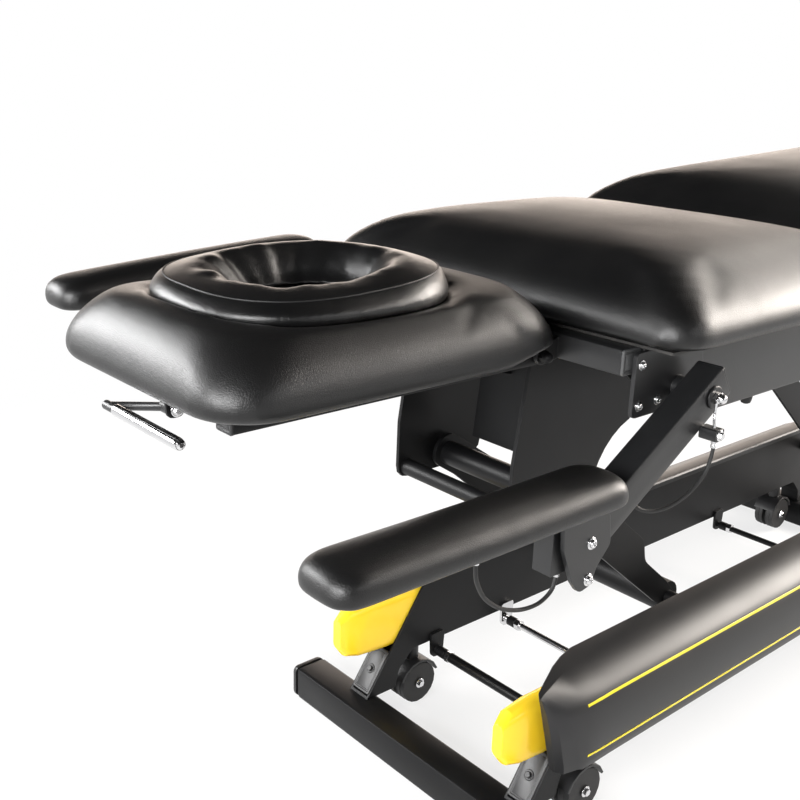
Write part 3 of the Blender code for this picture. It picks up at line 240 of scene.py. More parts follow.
class Graph:
    """Node tree of a material, a world or a modifier."""

    def __init__(self, tree: bpy.types.NodeTree) -> None:
        """Empty a tree and keep it."""
        self.tree = tree
        self.tree.nodes.clear()

    def node(self, kind: str, settings: dict | None = None, sockets: dict | None = None) -> bpy.types.Node:
        """Add any node.

        Args:
            kind: Node type.
            settings: Node settings, set before its sockets are used.
            sockets: Values or wires by input name or number.

        Returns:
            The node.
        """
        node = self.tree.nodes.new(kind)
        for key, value in (settings or {}).items():
            setattr(node, key, value)
        for key, value in (sockets or {}).items():
            self.feed(node.inputs[key], value)
        return node

    def add(self, kind: str, settings: dict | None = None, sockets: dict | None = None,
            output: Union[str, int] = 0) -> Wire:
        """Add any node and take one of its outputs, by name or number."""
        return Wire(self, self.node(kind, settings, sockets).outputs[output])

    def feed(self, socket: bpy.types.NodeSocket, value: Level) -> None:
        """Link a wire to a socket or set its constant.

        Args:
            socket: The input.
            value: Wire, number, word, vector or colour.
        """
        if isinstance(value, Wire):
            self.tree.links.new(value.socket, socket)
            return
        if socket.type == "RGBA" and len(value) == 3:
            value = (*value, 1.0)
        socket.default_value = value

    def place(self) -> Wire:
        """Object coordinates, in metres in the row frame."""
        return self.add("ShaderNodeTexCoord", output="Object")

    def cloud(self, scale: float, detail: float = 2.0, rough: float = 0.5) -> Wire:
        """Noise from 0 to 1 of so many clouds per metre, with its octaves and the finer ones' weight."""
        sockets = {"Vector": self.place(), "Scale": scale, "Detail": detail, "Roughness": rough}
        return self.add("ShaderNodeTexNoise", None, sockets, "Fac")

    def cells(self, scale: float) -> Wire:
        """Distance from the nearest cell border, with scale cells per metre."""
        sockets = {"Vector": self.place(), "Scale": scale}
        return self.add("ShaderNodeTexVoronoi", {"feature": "DISTANCE_TO_EDGE"}, sockets, "Distance")

    def blend(self, share: Level, first: Level, second: Level) -> Wire:
        """Colour mix, with a share of the second colour."""
        return self.add("ShaderNodeMix", {"data_type": "RGBA"}, {0: share, 6: first, 7: second}, 2)

    def soft_edges(self, radius: float) -> Wire:
        """Normal that rounds hard edges over a radius in metres."""
        return self.add("ShaderNodeBevel", {"samples": 4}, {"Radius": radius})

    def bump(self, height: Level, distance: float, strength: float, normal: Wire | None = None) -> Wire:
        """Relief.

        Args:
            height: Height from 0 to 1.
            distance: Metres for a height of 1.
            strength: Weight of the relief.
            normal: Normal to start from.

        Returns:
            The changed normal.
        """
        sockets: dict = {"Height": height, "Distance": distance, "Strength": strength}
        if normal is not None:
            sockets["Normal"] = normal
        return self.add("ShaderNodeBump", None, sockets)


class FinishGraph(Graph):
    """Node tree of a new material."""

    def __init__(self, name: str) -> None:
        """Make the material and empty its tree.

        Args:
            name: Name of the material.
        """
        self.material = bpy.data.materials.new(name)
        self.material.use_nodes = True
        super().__init__(self.material.node_tree)

    def close(self, shader: Wire) -> bpy.types.Material:
        """Link a shader to the output and hand the material over."""
        self.node("ShaderNodeOutputMaterial", None, {"Surface": shader})
        return self.material

    def surface(self, **sockets: Level) -> bpy.types.Material:
        """Material with a principled surface, its inputs by name with _ for a space."""
        named = {key.replace("_", " "): value for key, value in sockets.items()}
        return self.close(self.add("ShaderNodeBsdfPrincipled", None, named))


@dataclass(frozen=True)
class Leather:
    """Black upholstery with a fine grain; scales are per metre."""

    colour: Colour = (0.0034, 0.0034, 0.0036)
    worn: Colour = (0.0056, 0.0054, 0.0054)
    roughness: float = 0.34
    pores: float = 420.0
    creases: float = 0.37 * 420.0
    fuzz: float = 900.0
    patches: float = 7.0
    swells: float = 11.0
    relief: float = 0.00022
    swell: float = 0.0030

    def make(self, name: str) -> bpy.types.Material:
        """Make the material.

        Args:
            name: Its name.

        Returns:
            The material.
        """
        g = FinishGraph(name)
        pores = g.cells(self.pores).step(0.0, 0.16)
        creases = g.cells(self.creases).step(0.0, 0.09)
        patch = g.cloud(self.patches, 3.0)
        height = pores * 0.6 + creases * 0.3 + g.cloud(self.fuzz) * 0.25
        swell = g.bump(g.cloud(self.swells), self.swell, 0.35)
        normal = g.bump(height, self.relief, 0.55, swell)
        rough = self.roughness + (patch - 0.5) * 0.10 + (1.0 - pores) * 0.06
        colour = g.blend(patch.step(0.35, 0.75), self.colour, self.worn)
        return g.surface(Base_Color=colour, Roughness=rough, Normal=normal, IOR=1.5)


@dataclass(frozen=True)
class PowderCoat:
    """Satin black powder coat on steel; scales are per metre."""

    colour: Colour = (0.0048, 0.0049, 0.0054)
    dust: Colour = (0.0085, 0.0084, 0.0086)
    roughness: float = 0.44
    shine: float = 0.22
    edge: float = 0.0012
    patches: float = 9.0
    peel: float = 520.0
    relief: float = 0.00022

    def make(self, name: str) -> bpy.types.Material:
        """Make the material.

        Args:
            name: Its name.

        Returns:
            The material.
        """
        g = FinishGraph(name)
        patch = g.cloud(self.patches, 4.0, 0.6)
        normal = g.bump(g.cloud(self.peel), self.relief, 0.5, g.soft_edges(self.edge))
        rough = self.roughness + (patch - 0.5) * 0.16
        colour = g.blend(patch.step(0.45, 0.8) * 0.6, self.colour, self.dust)
        return g.surface(Base_Color=colour, Roughness=rough, Normal=normal, Specular_IOR_Level=self.shine)


@dataclass(frozen=True)
class Chrome:
    """Bright plated steel with faint smudges; scales are per metre."""

    colour: Colour = (0.74, 0.74, 0.75)
    dull: Colour = (0.55, 0.55, 0.56)
    roughness: float = 0.12
    edge: float = 0.0006
    smudges: float = 45.0
    ripples: float = 700.0
    relief: float = 0.00005

    def make(self, name: str) -> bpy.types.Material:
        """Make the material.

        Args:
            name: Its name.

        Returns:
            The material.
        """
        g = FinishGraph(name)
        smudge = g.cloud(self.smudges, 4.0, 0.6).step(0.42, 0.75)
        rough = self.roughness + smudge * 0.14
        colour = g.blend(smudge * 0.35, self.colour, self.dull)
        normal = g.bump(g.cloud(self.ripples, 1.0), self.relief, 0.3, g.soft_edges(self.edge))
        return g.surface(Base_Color=colour, Roughness=rough, Metallic=1.0, Normal=normal)


@dataclass(frozen=True)
class Moulded:
    """Moulded plastic or rubber with a fine spark-eroded texture; scales are per metre."""

    colour: Colour
    second: Colour
    roughness: float
    relief: float = 0.00014
    sparks: float = 640.0
    patches: float = 6.0
    edge: float = 0.0014

    def make(self, name: str) -> bpy.types.Material:
        """Make the material.

        Args:
            name: Its name.

        Returns:
            The material.
        """
        g = FinishGraph(name)
        patch = g.cloud(self.patches, 4.0, 0.55)
        fine = g.cloud(self.sparks, 2.0, 0.6)
        normal = g.bump(fine, self.relief, 0.6, g.soft_edges(self.edge))
        rough = self.roughness + (patch - 0.5) * 0.14 + (fine - 0.5) * 0.06
        colour = g.blend(patch.step(0.35, 0.8), self.colour, self.second)
        return g.surface(Base_Color=colour, Roughness=rough, Normal=normal)


@dataclass(frozen=True)
class Lacquer:
    """Black lacquered board with a faint long grain; scales are per metre."""

    colour: Colour = (0.014, 0.0135, 0.013)
    second: Colour = (0.028, 0.026, 0.024)
    roughness: float = 0.55
    fibres: Point = (9.0, 120.0, 120.0)
    relief: float = 0.0003
    edge: float = 0.0008

    def make(self, name: str) -> bpy.types.Material:
        """Make the material.

        Args:
            name: Its name.

        Returns:
            The material.
        """
        g = FinishGraph(name)
        long = g.add("ShaderNodeVectorMath", {"operation": "MULTIPLY"}, {0: g.place(), 1: self.fibres})
        grain = g.add("ShaderNodeTexNoise", None, {"Vector": long, "Scale": 1.0, "Detail": 4.0}, "Fac")
        normal = g.bump(grain, self.relief, 0.4, g.soft_edges(self.edge))
        colour = g.blend(grain.step(0.35, 0.7), self.colour, self.second)
        return g.surface(Base_Color=colour, Roughness=self.roughness + grain * 0.12, Normal=normal)


@dataclass(frozen=True)
class CastMetal:
    """Grey cast aluminium; scales are per metre."""

    colour: Colour = (0.24, 0.245, 0.25)
    second: Colour = (0.17, 0.172, 0.175)
    roughness: float = 0.46
    metallic: float = 0.85
    grit: float = 380.0
    patches: float = 14.0
    relief: float = 0.0003
    edge: float = 0.001

    def make(self, name: str) -> bpy.types.Material:
        """Make the material.

        Args:
            name: Its name.

        Returns:
            The material.
        """
        g = FinishGraph(name)
        grit = g.cloud(self.grit, 3.0, 0.65)
        patch = g.cloud(self.patches, 3.0)
        normal = g.bump(grit, self.relief, 0.5, g.soft_edges(self.edge))
        colour = g.blend(patch.step(0.3, 0.75), self.colour, self.second)
        rough = self.roughness + grit * 0.1
        return g.surface(Base_Color=colour, Roughness=rough, Metallic=self.metallic, Normal=normal)


class Palette:
    """All finishes of the table, made once."""

    def __init__(self) -> None:
        """Make every material."""
        plain = {
            Slot.STEEL: PowderCoat(),
            Slot.BRIGHT: Chrome(),
            Slot.LEATHER: Leather(),
            Slot.PLASTIC: Moulded((0.010, 0.010, 0.011), (0.015, 0.0147, 0.0147), 0.42),
            Slot.YELLOW: Moulded((0.95, 0.62, 0.02), (0.97, 0.70, 0.05), 0.24, 0.00005),
            Slot.BOARD: Lacquer(),
            Slot.ALUMINIUM: CastMetal(),
            Slot.RUBBER: Moulded((0.012, 0.012, 0.0125), (0.02, 0.0195, 0.019), 0.62, 0.0002),
        }
        self.by_slot = {slot: finish.make(slot.value + "_finish") for slot, finish in plain.items()}
        face = Leather(roughness=0.30, relief=0.00018)
        self.hides = {Hide.TABLE: self.of(Slot.LEATHER), Hide.FACE: face.make("face_leather_finish")}
        thread = Moulded((0.006, 0.006, 0.0065), (0.012, 0.012, 0.012), 0.5, 0.0001)
        self.thread = thread.make("seam_finish")
        stripe = Moulded((0.80, 0.66, 0.02), (0.86, 0.72, 0.04), 0.3, 0.00003)
        self.stripe = stripe.make("stripe_finish")
        satin = PowderCoat((0.012, 0.0122, 0.013), (0.019, 0.0188, 0.019), 0.38, 0.55)
        self.satin = satin.make("satin_steel_finish")
        grey = Moulded((0.060, 0.062, 0.064), (0.078, 0.079, 0.080), 0.42)
        self.grey_plug = grey.make("grey_plug_finish")
        log.info("finishes made for %d slots", len(self.by_slot))

    def of(self, slot: Slot) -> bpy.types.Material:
        """Finish of a slot."""
        return self.by_slot[slot]


@dataclass
class Solid:
    """Corners and faces of a piece while it is being made."""

    corners: list[Vector] = field(default_factory=list)
    faces: list[tuple[int, ...]] = field(default_factory=list)

    def take(self, other: "Solid", place: Matrix | None = None) -> "Solid":
        """Add another solid to this one.

        Args:
            other: What to add.
            place: Where to put it.

        Returns:
            This solid.
        """
        first = len(self.corners)
        self.corners.extend((place @ c if place else c.copy()) for c in other.corners)
        self.faces.extend(tuple(first + i for i in f) for f in other.faces)
        return self

    @classmethod
    def loft(cls, rings: Sequence[Sequence[Sequence[float]]], loop: bool = False) -> "Solid":
        """Skin over rings of equal length.

        Args:
            rings: The rings in order.
            loop: Join the last ring to the first instead of capping both.

        Returns:
            The solid.
        """
        count = len(rings[0])
        solid = cls([Vector(p) for ring in rings for p in ring])
        pairs = len(rings) if loop else len(rings) - 1
        for r in range(pairs):
            a, b = r * count, ((r + 1) % len(rings)) * count
            for i in range(count):
                j = (i + 1) % count
                solid.faces.append((a + i, a + j, b + j, b + i))
        if not loop:
            solid.faces.append(tuple(reversed(range(count))))
            last = (len(rings) - 1) * count
            solid.faces.append(tuple(range(last, last + count)))
        return solid

    @classmethod
    def lathe(cls, profile: Sequence[Pair], sides: int = 28, loop: bool = False) -> "Solid":
        """Turned shape about local Z.

        Args:
            profile: Radius and height at each step.
            sides: Sides of the turn.
            loop: Join the last step to the first, for a ring.

        Returns:
            The solid.
        """
        rings = []
        for radius, height in profile:
            rings.append([(radius * math.cos(t), radius * math.sin(t), height) for t in angles(sides)])
        return cls.loft(rings, loop)

    @classmethod
    def prism(cls, outline: Sequence[Pair], height: float, chamfer: float) -> "Solid":
        """Upright prism on local Z.

        Args:
            outline: Plan about the local origin.
            height: Height.
            chamfer: Size of the chamfer on its top edge.

        Returns:
            The solid.
        """
        share = 1.0 - chamfer / max(math.hypot(x, y) for x, y in outline)
        levels = ((1.0, 0.0), (1.0, height - chamfer), (share, height))
        return cls.loft([[(x * s, y * s, z) for x, y in outline] for s, z in levels])

    @classmethod
    def tube(cls, path: Sequence[Sequence[float]], radius: float, sides: int,
             closed: bool = False) -> "Solid":
        """Round bar along a path.

        Args:
            path: Points of the path.
            radius: Radius of the bar.
            sides: Sides of its section.
            closed: Join the ends.

        Returns:
            The solid.
        """
        spots = [Vector(p) for p in path]
        count = len(spots)
        rings = []
        across = None
        for i, spot in enumerate(spots):
            before = spots[i - 1] if closed or i > 0 else spot
            after = spots[(i + 1) % count] if closed or i < count - 1 else spot
            way = (after - before).normalized()
            if across is None:
                across = way.orthogonal()
            across = (across - way * across.dot(way)).normalized()
            other = way.cross(across)
            ring = [spot + radius * (across * math.cos(t) + other * math.sin(t)) for t in angles(sides)]
            rings.append(ring)
        return cls.loft(rings, closed)

    def mesh(self, name: str) -> bpy.types.Mesh:
        """Mesh datablock with outward faces.

        Args:
            name: Its name.

        Returns:
            The mesh.
        """
        data = bpy.data.meshes.new(name)
        data.from_pydata([tuple(c) for c in self.corners], [], self.faces)
        work = bmesh.new()
        work.from_mesh(data)
        bmesh.ops.recalc_face_normals(work, faces=work.faces)
        work.to_mesh(data)
        work.free()
        return data


def box_outline(half_a: float, half_b: float, radius: float, per_corner: int = 5,
                centre: Pair = (0.0, 0.0)) -> list[Pair]:
    """Rounded rectangle.

    Args:
        half_a: Half its first side.
        half_b: Half its second side.
        radius: Corner radius.
        per_corner: Points on each corner.
        centre: Its centre.

    Returns:
        The outline, anticlockwise.
    """
    points = []
    for k, (sa, sb) in enumerate(((1, 1), (-1, 1), (-1, -1), (1, -1))):
        for i in range(per_corner):
            angle = math.pi / 2 * (k + i / (per_corner - 1))
            points.append((centre[0] + sa * (half_a - radius) + radius * math.cos(angle),
                           centre[1] + sb * (half_b - radius) + radius * math.sin(angle)))
    return points


def hexagon(radius: float) -> list[Pair]:
    """Six corners at a radius."""
    return [(radius * math.cos(t), radius * math.sin(t)) for t in angles(6)]


def skin_of(mesh: bpy.types.Mesh) -> BVHTree:
    """Search tree of a mesh's faces."""
    faces = [tuple(p.vertices) for p in mesh.polygons]
    return BVHTree.FromPolygons([v.co.copy() for v in mesh.vertices], faces)


class Workshop:
    """Turns solids into named, riding pieces."""

    def __init__(self, palette: Palette) -> None:
        """Keep the finishes."""
        self.palette = palette
        self.made: list[str] = []

    def piece(self, name: str, solid: Solid, slot: Slot, body: str, finish: bpy.types.Material | None = None,
              place: Matrix = SHIFT) -> None:
        """Make one piece.

        Args:
            name: Its name.
            solid: Its shape, measured from the cushion's edge.
            slot: Slot of the record it takes its finish from.
            body: Body it rides on.
            finish: Finish, if not the slot's own.
            place: Where its measuring frame goes.
        """
        data = Solid().take(solid, place).mesh(name)
        data.shade_smooth()
        data.set_sharp_from_angle(angle=math.radians(HARD_EDGE))
        thing = put(name, data)
        data.materials.append(finish or self.palette.of(slot))
        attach(thing, body)
        self.made.append(name)
        log.info("%s on %s: %d faces", name, body, len(data.polygons))


class NodeSurface:
    """Skin of a CAD node, for setting pieces on it."""

    def __init__(self, node: str) -> None:
        """Read the node's mesh."""
        self.tree = skin_of(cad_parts[node].data)

    def hit(self, start: Sequence[float], way: Sequence[float]) -> Vector | None:
        """First point of the skin along a ray, both measured from the cushion's edge, or None."""
        spot = self.tree.ray_cast(SHIFT @ Vector(start), Vector(way))[0]
        return None if spot is None else SHIFT.inverted() @ spot


@dataclass(frozen=True)
class Stuffing:
    """How a cushion is filled: mesh size, air pressure, most movement, easing passes before and after."""

    voxel: float = 0.005
    pressure: float = 4.0
    reach: float = 0.005
    smooth: int = 3
    calm: int = 6


@dataclass
class Cushion:
    """One upholstered pad that stands for its CAD solid."""

    name: str
    node: str
    body: str
    solid: Solid
    place: Matrix
    held: Callable[[Vector], bool]
    stuffing: Stuffing = Stuffing()
    hide: Hide = Hide.TABLE
    fill: float = 0.85
    thing: bpy.types.Object | None = None

    def start(self, shop: Workshop) -> None:
        """Make the slack cover: remeshed and eased, with the cloth set up.

        Args:
            shop: Where it is made.
        """
        thing = put(self.name, self.solid.mesh(self.name))
        remesh = thing.modifiers.new("cover", "REMESH")
        remesh.mode = "VOXEL"
        remesh.voxel_size = self.stuffing.voxel
        thing.data = self.evaluated(thing)
        thing.modifiers.clear()
        self.ease(thing, self.stuffing.smooth)
        held = thing.vertex_groups.new(name="held")
        held.add([v.index for v in thing.data.vertices if self.held(v.co)], 1.0, "REPLACE")
        thing.data.materials.clear()
        thing.data.materials.append(shop.palette.hides[self.hide])
        self.thing = thing
        cloth = thing.modifiers.new("filling", "CLOTH")
        for key, value in CLOTH.items():
            setattr(cloth.settings, key, value)
        cloth.settings.uniform_pressure_force = self.stuffing.pressure
        cloth.settings.effector_weights.gravity = 0.0
        cloth.point_cache.frame_start = 1
        cloth.point_cache.frame_end = FILL_FRAMES
        log.info("%s: slack cover of %d points", self.name, len(thing.data.vertices))

    @staticmethod
    def ease(thing: bpy.types.Object, passes: int) -> None:
        """Smooth an object's mesh.

        Args:
            thing: The object.
            passes: How often.
        """
        work = bmesh.new()
        work.from_mesh(thing.data)
        for _ in range(passes):
            bmesh.ops.smooth_vert(work, verts=work.verts, factor=0.5, use_axis_x=True, use_axis_y=True,
                                  use_axis_z=True)
        work.to_mesh(thing.data)
        work.free()

    @staticmethod
    def evaluated(thing: bpy.types.Object) -> bpy.types.Mesh:
        """Mesh of an object with its modifiers applied."""
        graph = bpy.context.evaluated_depsgraph_get()
        return bpy.data.meshes.new_from_object(thing.evaluated_get(graph))

    def settle(self, shop: Workshop) -> None:
        """Take the filled shape, cap its movement, refine it and put it on its body.

        Args:
            shop: Where it is made.
        """
        thing = self.thing
        full = self.evaluated(thing)
        most = self.stuffing.reach
        for rest, moved in zip(thing.data.vertices, full.vertices):
            way = moved.co - rest.co
            far = way.length
            if far > TINY:
                rest.co = rest.co + way * (most * math.tanh(far / most) / far)
        bpy.data.meshes.remove(full)
        thing.modifiers.clear()
        self.ease(thing, self.stuffing.calm)
        finer = thing.modifiers.new("finer", "SUBSURF")
        finer.levels = 1
        thing.data = self.evaluated(thing)
        thing.modifiers.clear()
        thing.data.transform(SHIFT @ self.place)
        self.fit()
        thing.data.shade_smooth()
        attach(thing, self.body)
        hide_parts(self.node)
        shop.made.append(self.name)
        log.info("%s filled: %d faces", self.name, len(thing.data.polygons))

    def fit(self) -> None:
        """Ease the filled pad to the box of the CAD solid that it stands for."""
        low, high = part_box(self.node)
        spots = [v.co for v in self.thing.data.vertices]
        for axis in range(3):
            least = min(s[axis] for s in spots)
            most = max(s[axis] for s in spots)
            ratio = (high[axis] - low[axis]) / (most - least)
            for s in spots:
                s[axis] = low[axis] + (s[axis] - least) * ratio


def fill_cushions(cushions: Sequence[Cushion], shop: Workshop) -> None:
    """Fill every cushion in one run of the cloth.

    Args:
        cushions: The pads.
        shop: Where they are made.
    """
    scene = bpy.context.scene
    for cushion in cushions:
        cushion.start(shop)
    for number in range(1, FILL_FRAMES + 1):
        scene.frame_set(number)
    for cushion in cushions:
        cushion.settle(shop)
    scene.frame_set(1)


@dataclass(frozen=True)
class PadShape:
    """Sizes of a block pad; fullness says how square its dome is, from 2 for an ellipse upwards."""

    half: Pair
    corner: float
    height: float
    crown: float
    fullness: float


@dataclass
class TablePads:
    """The six cushions of the table."""

    mid: PadShape = PadShape((0.292, 0.347), 0.056, 0.085, 0.033, 2.2)
    mid_x: float = 0.298
    mid_bottom: float = 0.7563
    leg: PadShape = PadShape((0.426, 0.347), 0.056, 0.084, 0.033, 2.35)
    leg_overlap: float = 0.002
    leg_rise: float = 0.0191
    arm: PadShape = PadShape((0.2145, 0.044), 0.030, 0.034, 0.008, 3.4)
    arm_spot: Point = (-0.2955, 0.321, 0.6023)
    arm_forward: float = 0.085
    belt_share: float = 0.16
    tuck: Pairs = ((0.010, 0.0), (0.005, 0.16), (0.0022, 0.42), (0.0006, 0.74))
    dome_steps: int = 25
    dome_reach: float = 0.985
    dome_bias: float = 2.1
    head_half: Pair = (0.25625, 0.203)
    head_x: float = -0.26975
    head_corner: float = 0.070
    head_bottom: float = 0.7482
    head_height: float = 0.074
    head_lip: float = 0.0165
    lip_start: Pair = (0.040, 0.060)
    lip_steps: Pairs = ((0.0185, 0.0), (0.0185, -0.85), (0.0145, -0.97), (0.010, -1.0),
                        (0.0055, -0.86), (0.002, -0.55))
    skin_steps: Pairs = ((0.0, -0.02), (0.0008, 0.09), (0.0025, 0.20), (0.0052, 0.31), (0.009, 0.42),
                         (0.0135, 0.53), (0.019, 0.64), (0.025, 0.74), (0.031, 0.83), (0.0365, 0.90),
                         (0.041, 0.95))
    skin_fall: float = 0.085
    rim_steps: Pairs = ((0.0045, 0.001), (0.0020, -0.0015), (0.0016, -0.004), (0.0016, -0.016))
    rim_fall: float = 0.0095
    face_x: float = -0.290
    face_half: Pair = (0.172, 0.153)
    face_power: float = 2.6
    face_recess: float = 0.016
    face_rise: float = 0.033
    face_gap: float = 0.0003
    face_steps: Pairs = ((0.0015, 0.0), (0.0, 0.30), (0.0025, 0.45), (0.006, 0.60), (0.0095, 0.71),
                         (0.0135, 0.765), (0.021, 0.82), (0.030, 0.89), (0.038, 0.95), (0.045, 0.985),
                         (0.051, 0.98), (0.057, 0.90), (0.063, 0.76), (0.070, 0.56), (0.077, 0.34),
                         (0.083, 0.15), (0.0885, 0.0))
    fold_depth: float = 0.0045
    fold_side: float = 0.80 * math.pi
    hole_half: Pair = (0.074, 0.056)
    held_height: float = 0.006
    arm_held: float = 0.606
    held_margin: float = 0.010
    seam_inset: float = 0.0125
    seam_level: float = 0.8440
    seam_radius: float = 0.0012
    seam_lift: float = 0.0002
    points: int = 120

    def block(self, shape: PadShape, centre: Pair, bottom: float) -> Solid:
        """Pad with a drawn-in lower edge and one smooth dome from its sides to its crest.

        Args:
            shape: Its sizes.
            centre: Centre in plan.
            bottom: Height of its underside.

        Returns:
            The cover's solid.
        """
        least = min(shape.half)
        belt = self.belt_share * shape.height
        dome = shape.height + shape.crown - belt
        steps = [(inset, share * belt) for inset, share in self.tuck]
        for i in range(self.dome_steps + 1):
            share = self.dome_reach * (i / self.dome_steps) ** self.dome_bias
            rise = (1.0 - (1.0 - share) ** shape.fullness) ** (1.0 / shape.fullness)
            steps.append((share * least, belt + dome * rise))
        rings = []
        for inset, level in steps:
            corner = shape.corner
            radius = max(corner - 0.25 * inset, 0.7 * corner + 0.6 * (inset - 1.2 * corner))
            radius = min(radius, least - inset - 0.0005)
            plan = box_outline(shape.half[0] - inset, shape.half[1] - inset, radius, 14, centre)
            rings.append([(x, y, bottom + level) for x, y in plan])
        return Solid.loft(rings)

    def oval(self, half: Pair, level: float) -> list[Point]:
        """Squarish oval about the face hole.

        Args:
            half: Half its length and width.
            level: Its height.

        Returns:
            The ring.
        """
        ring = []
        for angle in angles(self.points):
            wide = abs(math.cos(angle)) / half[0]
            deep = abs(math.sin(angle)) / half[1]
            reach = (wide ** self.face_power + deep ** self.face_power) ** (-1.0 / self.face_power)
            ring.append((self.face_x + reach * math.cos(angle), reach * math.sin(angle), level))
        return ring

    def around(self, outline: Sequence[Pair]) -> list[Pair]:
        """Outline sampled at even angles about the face hole.

        Args:
            outline: Plan outline.

        Returns:
            As many points as the ovals have.
        """
        ring = []
        for angle in angles(self.points):
            way = Vector((math.cos(angle), math.sin(angle)))
            reach = 0.0
            for first, last in zip(outline, outline[1:] + outline[:1]):
                start = Vector(first) - Vector((self.face_x, 0.0))
                edge = Vector(last) - Vector(first)
                across = way.cross(edge)
                if abs(across) < TINY:
                    continue
                far = start.cross(edge) / across
                share = start.cross(way) / across
                if far > 0.0 and -SLACK <= share <= 1.0 + SLACK:
                    reach = max(reach, far)
            ring.append((self.face_x + way.x * reach, way.y * reach))
        return ring

    def head_plan(self, inset: float) -> list[Pair]:
        """Plan of the head cushion drawn in by a distance."""
        long, wide = self.head_half
        return self.around(box_outline(long - inset, wide - inset, self.head_corner + 0.3 * inset, 14,
                                       (self.head_x, 0.0)))

    def head_solid(self) -> Solid:
        """Head cushion: hanging lip, domed skin, recess and hole for the face cushion.

        Returns:
            The cover's solid.
        """
        rings = []
        low, tall = self.head_bottom, self.head_height
        for inset, level in self.lip_steps:
            ring = []
            for x, y in self.head_plan(inset):
                hang = self.head_lip * eased(HEAD_HINGE[0] - self.lip_start[0] - x, 0.0, self.lip_start[1])
                ring.append((x, y, low + level * hang))
            rings.append(ring)
        deepest = self.skin_steps[-1][0]
        for inset, level in self.skin_steps:
            fall = self.skin_fall * inset / deepest
            plan = self.head_plan(inset)
            rings.append([(x, y, low + (level - fall * self.flank(x, y)) * tall) for x, y in plan])
        for grow, level in self.rim_steps:
            rim = self.oval((self.face_half[0] + grow, self.face_half[1] + grow), low + tall + level)
            fall = self.rim_fall * (level + self.face_recess) / self.face_recess
            rings.append([(x, y, z - fall * self.flank(x, y)) for x, y, z in rim])
        for level in (low + tall - self.face_recess, low):
            rings.append(self.oval(self.hole_half, level))
        return Solid.loft(rings, True)

    def flank(self, x: float, y: float) -> float:
        """How far a point faces the long sides as seen from the face hole, 0 to 1."""
        across = x - self.face_x
        return min(1.0, 1.6 * y * y / max(across * across + y * y, TINY))

    def in_recess(self, spot: Vector) -> bool:
        """Whether a point lies inside the face recess or close to it.

        Args:
            spot: The point.

        Returns:
            True inside.
        """
        u = abs(spot.x - self.face_x) / (self.face_half[0] + self.held_margin)
        v = abs(spot.y) / (self.face_half[1] + self.held_margin)
        return u ** self.face_power + v ** self.face_power < 1.0

    @staticmethod
    def pillow_lean(angle: float) -> float:
        """Rise of the face cushion's rim: low at the near head corner, with a full cheek at the foot."""
        cheek = (math.degrees(angle) - 325.0 + 180.0) % 360.0 - 180.0
        return 0.0045 * math.cos(angle) + 0.0062 * math.sin(angle) + 0.0085 * math.exp(-(cheek / 42.0) ** 2)

    def face_solid(self) -> Solid:
        """Face cushion: upright band, flat rim and a crater with soft folds round the hole.

        Returns:
            The cover's solid.
        """
        base = self.head_bottom + self.head_height - self.face_recess + self.face_gap
        tall = self.face_recess + self.face_rise
        rings = []
        deepest = self.face_steps[-1][0]
        for inset, level in self.face_steps:
            share = inset / deepest
            half = (self.face_half[0] - share * (self.face_half[0] - self.hole_half[0]),
                    self.face_half[1] - share * (self.face_half[1] - self.hole_half[1]))
            slope = eased(share, 0.45, 0.22) * eased(1.0 - share, 0.0, 0.12)
            lift = eased(level, 0.30, 0.35)
            ring = []
            for angle, (x, y, z) in zip(angles(self.points), self.oval(half, base + level * tall)):
                fold = math.sin(9.0 * angle + 1.3 * math.sin(2.0 * angle))
                fold += 0.6 * math.sin(17.0 * angle + 0.8)
                wide = 0.5 + 0.5 * math.cos(angle - self.fold_side)
                crease = self.fold_depth * fold * slope * (0.20 + 0.80 * wide)
                ring.append((x, y, z + lift * self.pillow_lean(angle) + crease))
            rings.append(ring)
        return Solid.loft(rings, True)

    def cushions(self) -> list[Cushion]:
        """All six pads, not yet filled.

        Returns:
            The pads, with the face cushion last of the table's own four.
        """
        leg_bottom = LEG_HINGE[1] + self.leg_rise
        leg_x = LEG_HINGE[0] - self.leg_overlap + self.leg.half[0]
        face_low = self.head_bottom + self.head_height
        still = Matrix.Identity(4)
        large = Stuffing(0.009, reach=0.006)
        made = [
            Cushion("mid_cushion", "mid_pad", "deck",
                    self.block(self.mid, (self.mid_x, 0.0), self.mid_bottom), still,
                    lambda spot: spot.z < self.mid_bottom + self.held_height, large),
            Cushion("leg_cushion", "leg_pad", "leg_section",
                    self.block(self.leg, (leg_x, 0.0), leg_bottom), turn_about(LEG_HINGE, -LEG_TILT),
                    lambda spot: spot.z < leg_bottom + self.held_height, large),
            Cushion("head_cushion", "head_pad", "head_section", self.head_solid(), still,
                    lambda spot: self.in_recess(spot) or spot.z < self.head_bottom),
            Cushion("face_pillow", "face_cushion", "head_section", self.face_solid(), still,
                    lambda spot: spot.z < face_low, Stuffing(0.004, smooth=1, calm=2), Hide.FACE, 0.7),
        ]
        for side, forward in ((Side.RIGHT, 0.0), (Side.LEFT, self.arm_forward)):
            x, y, bottom = side.mirror(self.arm_spot)
            word = side.word
            made.append(Cushion("arm_cushion_" + word, "armrest_pad_" + word, "arm_pad_" + word,
                                self.block(self.arm, (x + forward, y), bottom), arm_places(side)[1],
                                lambda spot: spot.z < self.arm_held))
        return made

    def build(self, shop: Workshop) -> None:
        """Fill the pads and sew the face cushion's seam.

        Args:
            shop: Where they are made.
        """
        pads = self.cushions()
        fill_cushions(pads, shop)
        self.seam(shop, pads[3])

